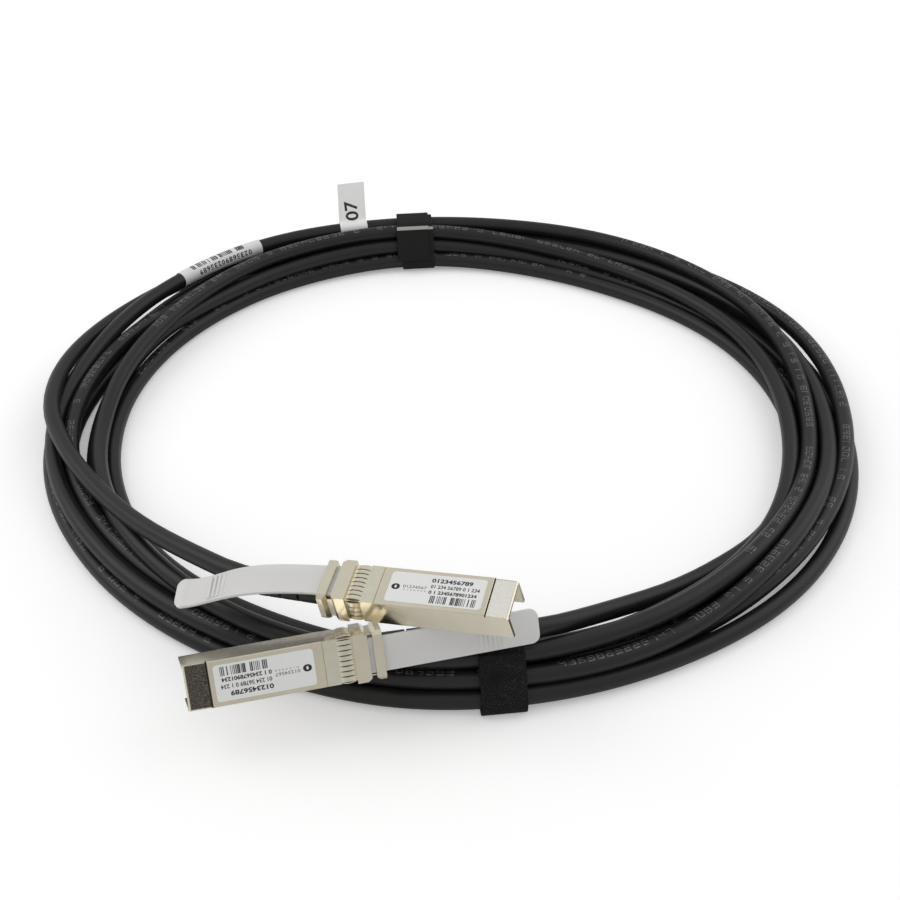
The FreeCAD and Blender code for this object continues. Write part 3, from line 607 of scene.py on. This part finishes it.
@dataclass(frozen=True)
class Jacket(Finish):
    """Matt black extruded jacket with a faint printed legend of plain numerals."""

    name: str = "jacket"
    colour: Triple = (0.0095, 0.0088, 0.0085)
    ink: Triple = (0.30, 0.30, 0.30)
    length: float = 6.5
    legend_pitch: float = 0.62
    legend_start: float = 0.484
    legend_share: float = 0.37
    lane: float = 0.175
    mark_pitch: float = 3.2 * MM
    mark_share: float = 0.70
    mark_height: float = 2.4 * MM
    stroke: float = 0.085

    def surface(self, graph: Paint, place: Socket) -> dict:
        """See Finish.surface."""
        uv = graph.node("ShaderNodeTexCoord").outputs["UV"]
        along, around, _ = graph.split(uv)
        metres = along * self.length
        stretch = (metres / self.legend_pitch - self.legend_start).fract().below(self.legend_share)
        cell = (metres / self.mark_pitch).floor()
        across = (metres / self.mark_pitch).fract() / self.mark_share
        up = (around - self.lane) * (pi * CABLE_WIDTH / self.mark_height) + 0.5
        digit = (graph.chance(graph.join(cell, 5.0, 3.0)) * 10.0).floor()
        marks = 0.0
        for upright, at, low, high, absent in NUMERAL_STROKES:
            line, other = (across, up) if upright else (up, across)
            stroke = (line - at).size().below(self.stroke) * other.within(low, high)
            for figure in absent:
                stroke = stroke * (digit - figure).size().above(0.5)
            marks = stroke + marks
        spaced = graph.chance(graph.join(cell, 9.0, 0.0)).above(0.24)
        worn = graph.noise(place, 1500.0).ramp(0.36, 0.58)
        ink = stretch * spaced * marks.above(0.5) * worn * 0.5
        grain = graph.noise(place, 2400.0, 3.0, 0.6)
        scuff = graph.noise(place, 120.0, 3.0)
        tone = graph.blend(scuff, self.colour, (0.017, 0.016, 0.0155))
        tone = graph.blend(ink, tone, self.ink)
        return {"Base Color": tone, "Roughness": 0.30 + scuff * 0.14,
                "Specular IOR Level": 0.36,
                "Normal": graph.bump(grain, 0.012 * MM, 0.6)}


@dataclass(frozen=True)
class Rubber(Finish):
    """Moulded black strain relief."""

    def surface(self, graph: Paint, place: Socket) -> dict:
        """See Finish.surface."""
        grain = graph.noise(place, 3200.0)
        tone = graph.blend(graph.noise(place, 200.0), (0.010, 0.010, 0.011), (0.018, 0.018, 0.019))
        return {"Base Color": tone, "Roughness": 0.42 + grain * 0.12,
                "Normal": graph.bump(grain, 0.01 * MM, 0.6)}


@dataclass(frozen=True)
class WovenStrap(Finish):
    """Black woven strap with loops on its face."""

    bearing: float
    shown: Side
    pitch: float = 1.1 * MM
    depth: float = 0.12 * MM
    sheen: float = 0.0
    # Strength of the painted highlight flecks on the loops.
    glint: float = 0.5
    gloss: float = 0.12
    # Radius of a painted highlight line along the strap's top inner bend, and how far outside the
    # strands that bend lies.
    bend_highlight: float = 0.0
    bend_highlight_out: float = 1.5 * MM

    def surface(self, graph: Paint, place: Socket) -> dict:
        """See Finish.surface."""
        x, y, z = graph.split(place)
        turn = radians(self.bearing)
        across = x * -sin(turn) + y * cos(turn)
        out = x * cos(turn) + y * sin(turn)
        run = z + out * self.shown.value
        step = 2 * pi / self.pitch
        slant = ((across + run) * step).sine()
        counter = ((across - run) * step).sine()
        knit = slant.math("MAXIMUM", counter).ramp(0.0, 1.0)
        fuzz = graph.noise(place, 2600.0)
        glint_spread = graph.noise(place, 140.0)
        height = knit * 0.8 + fuzz * 0.3
        # Painted highlight: pale flecks on the loops' crests, where fibres would catch light,
        # spread in patches.
        glint = knit.ramp(0.55, 1.0) * fuzz.ramp(0.45, 0.7) * glint_spread.ramp(0.35, 0.75) * self.glint
        tone = graph.blend(knit * 0.7 + fuzz * 0.3, (0.002, 0.002, 0.002), (0.015, 0.0145, 0.014))
        tone = graph.blend(glint, tone, (0.22, 0.22, 0.22))
        # Painted highlight: a pale line along the top inner bend, where the fold would catch light.
        if self.bend_highlight > 0.0:
            edge = RING.outline(self.bearing, self.bend_highlight_out, 36)
            radius, level = max(edge, key=lambda spot: spot[1] - spot[0])
            bend = RING.around(self.bearing, radius, level)
            from_bend = ((out - (bend.x * cos(turn) + bend.y * sin(turn))).math("POWER", 2.0)
                         + (z - bend.z).math("POWER", 2.0)).math("SQRT")
            tone = graph.blend(from_bend.below(self.bend_highlight) * 0.8, tone, (0.55, 0.54, 0.52))
        return {"Base Color": tone, "Roughness": 0.55 + fuzz * 0.25,
                "Specular IOR Level": self.gloss, "Sheen Weight": self.sheen,
                "Sheen Roughness": 0.5,
                "Normal": graph.bump(height, self.depth, 0.9)}


@dataclass(frozen=True)
class LabelFilm(Finish):
    """Satin white film on a module, with a bar code of plain bars."""

    code_along: Pair = (0.413, 0.935)
    code_across: Pair = (0.06, 0.31)
    paper: Triple = (0.90, 0.90, 0.89)
    ink: Triple = (0.035, 0.035, 0.035)

    def surface(self, graph: Paint, place: Socket) -> dict:
        """See Finish.surface."""
        x, y, _ = graph.split(place)
        u = 1.0 - (x - LABEL_START) / LABEL_LENGTH
        v = 0.5 - y / LABEL_WIDTH
        code = graph.bars(u, 56.0, 7.0) * u.within(*self.code_along) * v.within(*self.code_across)
        ink = code * graph.noise(place, 3000.0).ramp(0.1, 0.35)
        shade = graph.noise(place, 300.0)
        tone = graph.blend(ink, graph.blend(shade, (0.86, 0.86, 0.85), self.paper), self.ink)
        return {"Base Color": tone, "Roughness": 0.42 + shade * 0.08,
                "Normal": graph.bump(graph.noise(place, 1800.0), 0.004 * MM, 0.4)}


@dataclass(frozen=True)
class WrapFilm(Finish):
    """White film round the cable, with bars along it."""

    name: str = "wrap_film"
    first: float = 122.8
    last: float = 138.3
    code_along: Pair = (0.12, 0.885)
    code_around: Pair = (56.0, 118.0)

    def surface(self, graph: Paint, place: Socket) -> dict:
        """See Finish.surface."""
        radius = RING.arc(self.first, self.last)[1]
        x, y, z = graph.split(place)
        turn = y.math("ARCTAN2", x) * DEGREES
        along = 0.5 - turn / (self.last - self.first)
        out = (x * x + y * y).math("SQRT") - radius
        around = z.math("ARCTAN2", out) * DEGREES
        span = along.within(*self.code_along) * around.within(*self.code_around)
        code = graph.bars(along, 40.0, 3.0) * span
        shade = graph.noise(place, 400.0)
        film = graph.blend(shade, (0.80, 0.80, 0.79), (0.86, 0.86, 0.85))
        tone = graph.blend(code, film, (0.03, 0.03, 0.03))
        return {"Base Color": tone, "Roughness": 0.38 + shade * 0.08,
                "Normal": graph.bump(shade, 0.01 * MM, 0.4)}


@dataclass(frozen=True)
class Plain(Finish):
    """A small even finish with a fine grain."""

    low: Triple
    high: Triple
    metallic: float = 0.0
    roughness: float = 0.4
    scale: float = 1500.0

    def surface(self, graph: Paint, place: Socket) -> dict:
        """See Finish.surface."""
        grain = graph.noise(place, self.scale)
        return {"Base Color": graph.blend(grain, self.low, self.high),
                "Metallic": self.metallic, "Roughness": self.roughness + grain * 0.1,
                "Normal": graph.bump(grain, 0.006 * MM, 0.5)}


# ---- helpers on Blender's objects ----
def clear_selection() -> None:
    """Leave edit mode and deselect everything."""
    if bpy.context.object is not None and bpy.context.object.mode != "OBJECT":
        bpy.ops.object.mode_set(mode="OBJECT")
    bpy.ops.object.select_all(action="DESELECT")


def pick(piece: Piece) -> None:
    """Select one piece alone and make it the active one."""
    clear_selection()
    piece.select_set(True)
    bpy.context.view_layer.objects.active = piece


def link(name: str, data: bpy.types.ID) -> Piece:
    """Put data into the scene as a new object."""
    piece = bpy.data.objects.new(name, data)
    bpy.context.scene.collection.objects.link(piece)
    return piece


def dress(piece: Piece, material: Material) -> None:
    """Give a piece one material."""
    piece.data.materials.clear()
    piece.data.materials.append(material)


def hand_over(piece: Piece, material: Material, slot: str, *nodes: str) -> None:
    """Give a new piece its material and tie it to the frame.

    Args:
        piece: The piece, which moves with the fixed body.
        material: Its material.
        slot: Its material slot; not used.
        nodes: The CAD nodes that it takes the place of.
    """
    dress(piece, material)
    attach(piece, ROOT)
    if nodes:
        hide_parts(*nodes)


def settle(piece: Piece) -> None:
    """Move a piece's placement into its mesh."""
    pick(piece)
    bpy.ops.object.transform_apply(location=True, rotation=True, scale=True)


def add_modifier(piece: Piece, kind: str, settings: dict) -> None:
    """Add a modifier and apply it.

    Args:
        piece: The object.
        kind: Modifier type.
        settings: Its properties.
    """
    pick(piece)
    modifier = piece.modifiers.new(kind.lower(), kind)
    for key, value in settings.items():
        setattr(modifier, key, value)
    bpy.ops.object.modifier_apply(modifier=modifier.name)


def ribbon(name: str, points: Sequence[Vector], across: Vector, width: float) -> Piece:
    """Extrude a cross edge along a path.

    Args:
        name: Name of the new object.
        points: Middle line of the ribbon.
        across: Direction of its cross edge.
        width: Length of its cross edge.

    Returns:
        The mesh object, one face thick.
    """
    turn = across.to_track_quat("X", "Z")
    beside = turn @ Vector((0.0, 1.0, 0.0))
    clear_selection()
    bpy.ops.mesh.primitive_plane_add(size=width, location=points[0], rotation=turn.to_euler())
    piece = bpy.context.object
    piece.name = name
    settle(piece)
    for part in (*piece.data.edges, *piece.data.polygons):
        part.select = False
    for vertex in piece.data.vertices:
        vertex.select = (vertex.co - points[0]).dot(beside) > 0
    bpy.ops.object.mode_set(mode="EDIT")
    bpy.ops.mesh.delete(type="VERT")
    bpy.ops.mesh.select_all(action="SELECT")
    bpy.ops.transform.translate(value=beside * (width / 2))
    for before, after in zip(points, points[1:]):
        bpy.ops.mesh.extrude_edges_move(TRANSFORM_OT_translate={"value": after - before})
    bpy.ops.mesh.select_all(action="SELECT")
    bpy.ops.mesh.normals_make_consistent(inside=False)
    bpy.ops.object.mode_set(mode="OBJECT")
    return piece


def smooth(piece: Piece, angle: float) -> None:
    """Shade a piece smooth, apart from edges over an angle in degrees."""
    pick(piece)
    bpy.ops.object.shade_smooth_by_angle(angle=radians(angle))


# ---- cable ----
@dataclass
class Cable:
    """The one cable, from inside one strain relief round the ring to inside the other."""

    length: float = 6.51
    step: float = 7.5
    jacket_start: float = MODULE_END - 2.4 * MM
    axis_height: float = 3.8 * MM
    boot_end: float = MODULE_END + 20.0 * MM
    exit_run: float = 2.0 * MM
    free_a: tuple[Triple, ...] = (
        (-77.0, -1.80, 2.78), (-62.3, -3.45, 1.10), (-46.9, -3.37, 0.12), (-32.4, -2.31, 0.0))
    free_b: tuple[Triple, ...] = (
        (-132.7, -1.82, 3.64), (-146.0, -1.47, 2.72), (-158.6, -0.52, 2.14), (-170.3, 0.99, 1.91),
        (179.0, 2.72, 1.87))

    def tail(self, end: str) -> list[Vector]:
        """Route of a free stretch, from inside the module to the ring.

        Args:
            end: The module's letter.

        Returns:
            The route's points.
        """
        home = SEATS[end].matrix()
        route = [home @ Vector((x, 0.0, self.axis_height))
                 for x in (self.jacket_start, self.boot_end + self.exit_run)]
        for bearing, out, level in self.free_a if end == "a" else self.free_b:
            route.append(RING.berth(bearing, out, level))
        return route

    def turns(self) -> list[Vector]:
        """Control points of the wound turns, set out so that the spline keeps the turns' radius.

        Returns:
            The points, in order.
        """
        widen = 1.0 / (0.75 + 0.25 * cos(radians(self.step)))
        end = RING.last + 360.0 * (len(RING.lay) - 1)
        count = int((end - RING.first) // self.step)
        points = []
        for index in range(count + 1):
            angle = RING.first + index * self.step
            radius, height = RING.lay_at(angle)
            points.append(RING.around(angle, radius * widen, height))
        return points

    def build(self) -> Piece:
        """Model the cable as one open spline.

        Returns:
            The curve object.
        """
        points = self.tail("a") + self.turns() + self.tail("b")[::-1]
        data = bpy.data.curves.new("cable", "CURVE")
        data.dimensions = "3D"
        spline = data.splines.new("NURBS")
        spline.points.add(len(points) - 1)
        for spot, point in zip(spline.points, points):
            spot.co = (*point, 1.0)
        spline.order_u = 3
        spline.use_endpoint_u = True
        spline.use_smooth = True
        data.bevel_depth = CABLE_WIDTH / 2
        data.bevel_resolution = 6
        data.resolution_u = 4
        data.use_fill_caps = True
        return link("cable", data)

    def dress(self, piece: Piece, tags: list[Piece]) -> None:
        """Give the cable its jacket and tie it to the frame.

        Args:
            piece: The curve object.
            tags: What is wrapped or printed on the cable; not used.
        """
        hand_over(piece, Jacket().make(), "cable_jacket",
                  "cable_coil", "cable_tail_a", "cable_tail_b")
        leave = SEATS["a"].matrix() @ Vector((self.boot_end, 0.0, self.axis_height))


# ---- ties ----
@dataclass
class Tie:
    """A hook-and-loop strap round the ring, with its end lapped over."""

    name: str
    node: str
    bearing: float
    start_side: int
    lap_sides: int
    drift: float
    finish: WovenStrap
    width: float = 13.3 * MM
    thickness: float = 0.8 * MM
    slack: float = 0.2 * MM
    lap_layers: float = 1.52
    lap_ramp: int = 3
    edge_round: float = 0.15 * MM
    sides: int = 40

    def path(self) -> list[Vector]:
        """Middle line of the strap, once round the ring's section and on over its own start.

        Returns:
            The points, in order.
        """
        inner = RING.outline(self.bearing, self.slack + self.thickness / 2, self.sides)
        outer = RING.outline(self.bearing, self.slack + self.thickness * self.lap_layers,
                             self.sides)
        points = []
        for index in range(self.sides + self.lap_sides):
            share = min(1.0, max(0.0, (index - self.sides + self.lap_ramp) / self.lap_ramp))
            spot = (self.start_side + index) % self.sides
            radius = inner[spot][0] * (1 - share) + outer[spot][0] * share
            height = inner[spot][1] * (1 - share) + outer[spot][1] * share
            points.append(RING.around(self.bearing, radius, max(height, self.thickness / 2)))
        return points

    def build(self) -> Piece:
        """Extrude the strap's cross edge along its path, thicken it and tie it to the frame.

        Returns:
            The mesh object.
        """
        turn = radians(self.bearing + 90.0)
        across = Vector((cos(turn), sin(turn), 0.0))
        points = []
        for index, point in enumerate(self.path()):
            spot = point + across * (self.drift * max(0, index - self.sides + self.lap_ramp + 1))
            if not points or (spot - points[-1]).length > MIN_STEP:
                points.append(spot)
        piece = ribbon(self.name, points, across, self.width)
        add_modifier(piece, "SOLIDIFY", {"thickness": self.thickness, "offset": 0.0})
        add_modifier(piece, "BEVEL", {"width": self.edge_round, "segments": 2,
                                      "limit_method": "ANGLE", "angle_limit": radians(60)})
        smooth(piece, 50.0)
        hand_over(piece, self.finish.make(), "woven_tie", self.node)
        return piece


# ---- print ----
@dataclass
class PrintedLine:
    """A line of plain numbers printed on film.

    Its home is the placement of its lower left corner: X runs along the line and Z off the film.
    """

    name: str
    text: str
    home: Matrix
    width: float
    height: float
    weight: float = 0.02
    slot: str = "module_label"
    film: Piece | None = None

    def lay(self, ink: Material) -> Piece:
        """Model the line as a thin mesh that lies on its film, and tie it to the frame.

        Args:
            ink: The ink's material.

        Returns:
            The mesh object.
        """
        clear_selection()
        bpy.ops.object.text_add(location=(0.0, 0.0, 0.0))
        letters = bpy.context.object
        letters.name = self.name
        letters.data.body = self.text
        letters.data.resolution_u = 3
        letters.data.offset = self.weight
        bpy.ops.object.convert(target="MESH")
        piece = bpy.context.object
        spots = [vertex.co for vertex in piece.data.vertices]
        low = Vector((min(spot.x for spot in spots), min(spot.y for spot in spots), 0.0))
        high = Vector((max(spot.x for spot in spots), max(spot.y for spot in spots), 0.0))
        size = high - low
        fit = Matrix.Diagonal((self.width / size.x, self.height / size.y, 1.0, 1.0))
        piece.matrix_world = self.home @ fit @ Matrix.Translation(-low)
        settle(piece)
        if self.film is not None:
            add_modifier(piece, "SHRINKWRAP", {"target": self.film, "offset": INK_GAP,
                                               "wrap_mode": "ABOVE_SURFACE"})
        add_modifier(piece, "SOLIDIFY", {"thickness": INK_THICKNESS, "offset": 0.0})
        hand_over(piece, ink, self.slot)
        return piece


# Small parts of a module: the finish's name, its two colours, how metallic and how rough.
SMALL_PARTS = {
    "card": ("board", (0.02, 0.10, 0.05), (0.03, 0.14, 0.07), 0.0, 0.4),
    "contacts": ("gold", (0.80, 0.58, 0.22), (0.88, 0.66, 0.30), 1.0, 0.2),
    "cores": ("cores", (0.72, 0.72, 0.70), (0.80, 0.80, 0.78), 0.0, 0.4),
    "ferrule": ("ferrule", (0.55, 0.55, 0.56), (0.66, 0.66, 0.67), 1.0, 0.3),
}


@dataclass
class Module:
    """One pluggable module: its CAD nodes, and the print on its label."""

    end: str
    nickel: CastNickel
    rows: tuple[tuple[str, float, float, float, float, float], ...] = (
        ("0123456789", 0.43, 0.86, 0.74, 0.88, 0.035),
        ("01 234 56789 0 1 234", 0.436, 0.946, 0.55, 0.67, 0.02),
        ("0 1 2345678901234", 0.43, 0.93, 0.36, 0.48, 0.035),
        ("01234567", 0.15, 0.40, 0.49, 0.58, 0.0),
        ("0 1 2 3 4 5 6", 0.16, 0.40, 0.41, 0.445, 0.0),
        ("0", 0.03, 0.12, 0.40, 0.60, 0.05),
    )

    def dress(self) -> list[Piece]:
        """Give the module's nodes their finishes and lay the print on its label.

        Returns:
            The printed pieces.
        """
        home = SEATS[self.end].matrix()
        nickel = self.nickel.make(home)
        steel = Plain(f"steel_{self.end}", (0.5, 0.5, 0.5), (0.62, 0.62, 0.61), 1.0, 0.28).make()
        finishes = {
            "lower_shell": nickel,
            "upper_shell": nickel,
            "collar": SpringSheet(f"spring_sheet_{self.end}").make(home),
            "boot": Rubber(f"boot_rubber_{self.end}").make(),
            "slider": steel,
            "spring": steel,
            "screws": steel,
            "label": LabelFilm(f"label_film_{self.end}").make(home),
            "pull_tab": TabNylon(f"tab_nylon_{self.end}").make(home),
        }
        for node, (name, *look) in SMALL_PARTS.items():
            finishes[node] = Plain(f"{name}_{self.end}", *look).make()
        for node, material in finishes.items():
            dress(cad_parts[f"{node}_{self.end}"], material)
        ink = Plain(f"ink_{self.end}", *INK_TONES).make()
        printed = []
        turned = Matrix.Rotation(pi, 4, "Z")
        for row, (text, left, right, low, high, weight) in enumerate(self.rows):
            corner = Vector((LABEL_END - left * LABEL_LENGTH, (0.5 - low) * LABEL_WIDTH,
                             LABEL_TOP + INK_GAP))
            line = PrintedLine(f"print_{self.end}_{row}", text,
                               home @ Matrix.Translation(corner) @ turned,
                               (right - left) * LABEL_LENGTH, (high - low) * LABEL_WIDTH, weight)
            printed.append(line.lay(ink))
        return printed


@dataclass
class WrapLabel:
    """The film round the tagged strand, with a row of plain digits along it."""

    digits: str = "02356890235689"
    left: float = 0.87
    right: float = 0.20
    around: float = 158.0
    glyph: Pair = (1.45 * MM, 2.3 * MM)
    lift: float = 0.3 * MM
    film: WrapFilm = WrapFilm()

    def build(self) -> list[Piece]:
        """Give the film its finish and model each digit, laid on it.

        Returns:
            The digits.
        """
        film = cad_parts["wrap_label"]
        home, radius = RING.arc(self.film.first, self.film.last)
        dress(film, self.film.make(home))
        reach = CABLE_WIDTH / 2 + self.lift
        around = radians(self.around)
        out = Vector((cos(around), 0.0, sin(around)))
        up = Vector((-sin(around), 0.0, cos(around)))
        tilt = Matrix((Vector((0.0, 1.0, 0.0)), up, out)).transposed().to_4x4()
        corner = Matrix.Translation((-self.glyph[0] / 2, -self.glyph[1] / 2, 0.0))
        at = Matrix.Translation(Vector((radius, 0.0, 0.0)) + out * reach)
        ink = Plain("ink_wrap", *INK_TONES).make()
        pieces = []
        for index, digit in enumerate(self.digits):
            share = self.left + (self.right - self.left) * index / (len(self.digits) - 1)
            turn = radians((0.5 - share) * (self.film.last - self.film.first))
            spin = home @ Matrix.Rotation(turn, 4, "Z")
            line = PrintedLine(f"print_wrap_{index}", digit, spin @ at @ tilt @ corner, *self.glyph,
                               0.03, "film_label", film)
            pieces.append(line.lay(ink))
        return pieces


@dataclass
class Flag:
    """Film flag: once round the tagged strand, then stuck back to back above it."""

    bearing: float = 106.5
    width: float = 11.5 * MM
    height: float = 16.8 * MM
    lean: float = 42.0
    slant: float = -0.085
    thickness: float = 0.12 * MM
    gap: float = 0.10 * MM
    fold: float = 0.4 * MM
    slack: float = 0.18 * MM
    step: float = 18.0
    numeral: str = "07"
    numeral_at: Pair = (3.6 * MM, -2.9 * MM)
    numeral_size: Pair = (8.6 * MM, 5.6 * MM)

    def home(self) -> Matrix:
        """Placement of the flag: X up its face, Y along the strand, Z off the side that is read.

        Returns:
            The placement, at the strand's centre line.
        """
        angle = self.bearing + 360.0 * RING.tagged_turn
        along = (RING.strand(angle + 1.0) - RING.strand(angle - 1.0)).normalized()
        turn = radians(self.bearing)
        lean = radians(self.lean)
        up = Vector((cos(turn) * sin(lean), sin(turn) * sin(lean), cos(lean)))
        up = (up - along * up.dot(along)).normalized()
        axes = Matrix((up, along, up.cross(along))).transposed().to_4x4()
        return Matrix.Translation(RING.strand(angle)) @ axes

    def build(self) -> Piece:
        """Bend one strip of film round the strand and up into two layers, and tie it to the frame.

        Returns:
            The mesh object.
        """
        radius = CABLE_WIDTH / 2 + self.slack
        path = [(radius + self.height, self.gap), (radius + self.fold, self.gap)]
        sweep = 360.0 - 2 * self.step
        count = int(sweep // self.step)
        for index in range(count + 1):
            turn = radians(self.step + index * sweep / count)
            path.append((radius * cos(turn), radius * sin(turn)))
        path += [(radius + self.fold, -self.gap), (radius + self.height, -self.gap)]
        home = self.home()
        points = [home @ Vector((up, self.slant * max(0.0, up - radius), off)) for up, off in path]
        piece = ribbon("flag", points, home.to_3x3() @ Vector((0.0, 1.0, 0.0)), self.width)
        add_modifier(piece, "SOLIDIFY", {"thickness": self.thickness, "offset": 0.0})
        smooth(piece, 40.0)
        film = Plain("flag_film", (0.89, 0.885, 0.87), (0.93, 0.925, 0.91), 0.0, 0.36, 300.0)
        hand_over(piece, film.make(), "film_label", "length_flag")
        return piece

    def print_number(self) -> Piece:
        """Print the plain number that is read up the flag.

        Returns:
            The number.
        """
        off = self.gap + self.thickness / 2 + INK_GAP
        corner = self.home() @ Matrix.Translation((self.numeral_at[0], self.numeral_at[1], off))
        line = PrintedLine("print_flag", self.numeral, corner, *self.numeral_size,
                           slot="film_label")
        return line.lay(Plain("ink_flag", *INK_TONES).make())


# ---- stage ----
@dataclass
class Studio:
    """Pale floor, soft light and the camera."""

    eye: Triple = (0.0, -407.7 * MM, 306.1 * MM)
    dip: float = 36.9
    lens: float = 57.2
    sensor: float = 36.0
    floor_size: float = 6.0
    floor_lift: float = 0.27
    floor_drop: float = 0.05 * MM
    low_sky: float = 0.59
    high_sky: float = 0.25
    lamps: tuple[tuple[str, Triple, float, float], ...] = (
        ("key", (-1.10, 0.15, 1.00), 1.1, 4.5),
        ("rim", (1.10, 0.45, 0.95), 1.3, 3.2),
    )

    def build(self) -> None:
        """Make the floor, the world, the lamps and the camera."""
        self._floor()
        self._world()
        for name, spot, size, power in self.lamps:
            self._lamp(name, Vector(spot), size, power)
        data = bpy.data.cameras.new("camera")
        data.lens = self.lens
        data.sensor_width = self.sensor
        data.clip_start = 0.01
        camera = link("camera", data)
        camera.location = Vector(self.eye) - ORIGIN
        camera.rotation_euler = (radians(90.0 - self.dip), 0.0, 0.0)
        bpy.context.scene.camera = camera
        bpy.context.scene.view_settings.view_transform = "Standard"

    def _floor(self) -> None:
        """Make the floor, a wide square plane."""
        clear_selection()
        level = -ORIGIN.z - self.floor_drop
        bpy.ops.mesh.primitive_plane_add(size=self.floor_size, location=(0.0, 0.0, level))
        floor = bpy.context.object
        floor.name = "floor"
        graph = Paint("floor_white")
        graph.finish({"Base Color": (0.93, 0.93, 0.93, 1.0), "Roughness": 0.8,
                      "Specular IOR Level": 0.2, "Emission Color": (1.0, 1.0, 1.0, 1.0),
                      "Emission Strength": graph.seen() * self.floor_lift})
        dress(floor, graph.material)

    def _world(self) -> None:
        """Make a sky that lights most from overhead and is even and pale where it is looked at."""
        world = bpy.data.worlds.new("studio")
        bpy.context.scene.world = world
        world.use_nodes = True
        graph = Graph(world.node_tree)
        _, _, up = graph.split(graph.node("ShaderNodeTexCoord").outputs["Generated"])
        level = up.ramp(0.0, 0.8) * self.high_sky + self.low_sky
        strength = level.math("MAXIMUM", graph.seen())
        sky = graph.node("ShaderNodeBackground", None, {"Strength": strength})
        graph.node("ShaderNodeOutputWorld", None, {"Surface": sky.outputs[0]})

    def _lamp(self, name: str, spot: Vector, size: float, power: float) -> None:
        """Add one soft square lamp aimed at the ring's middle.

        Args:
            name: The lamp's name.
            spot: Its place about the ring's centre.
            size: Its side.
            power: Its power in watts.
        """
        data = bpy.data.lights.new(name, "AREA")
        data.size = size
        data.energy = power
        lamp = link(name, data)
        lamp.location = spot - ORIGIN
        lamp.rotation_euler = (-spot).to_track_quat("-Z", "Y").to_euler()


def main() -> None:
    """Build and dress every piece, then the stage."""
    logging.basicConfig(level=logging.INFO, format="%(message)s")
    cable = Cable()
    line = cable.build()
    digits = WrapLabel().build()
    flag = Flag()
    film = flag.build()
    number = flag.print_number()
    LOG.info("tags: %d faces of film, %d digits", len(film.data.polygons), len(digits))
    cable.dress(line, [*digits, film, number])
    LOG.info("cable: %d route points", len(line.data.splines[0].points))
    ties = (
        Tie("strap_front", "front_tie", -83.0, 30, 16, 0.0,
            WovenStrap("weave_front", -83.0, Side.OUTSIDE)),
        # The back strap has fainter painted highlight flecks and a painted highlight line along its
        # top inner bend.
        Tie("strap_back", "back_tie", 95.9, 33, 25, 0.08 * MM,
            WovenStrap("weave_back", 95.9, Side.INSIDE, 0.9 * MM, 0.05 * MM, 0.0, 0.1, 0.25,
                       0.8 * MM)),
    )
    for tie in ties:
        strap = tie.build()
        LOG.info("%s: %d faces", strap.name, len(strap.data.polygons))
    skins = {
        # Painted reflection: module a's hood gets a darker pair of the same cast skin's tones,
        # standing for the dark surroundings its hood reflects.
        "a": CastNickel("cast_nickel_a", (0.17, 0.155, 0.13), (0.045, 0.041, 0.035),
                        seam=0.45 * MM),
        "b": CastNickel("cast_nickel_b"),
    }
    for end, nickel in skins.items():
        printed = Module(end, nickel).dress()
        LOG.info("module %s: %d printed lines", end, len(printed))
    Studio().build()
    LOG.info("stage built")


if __name__ == "__main__":
    main()
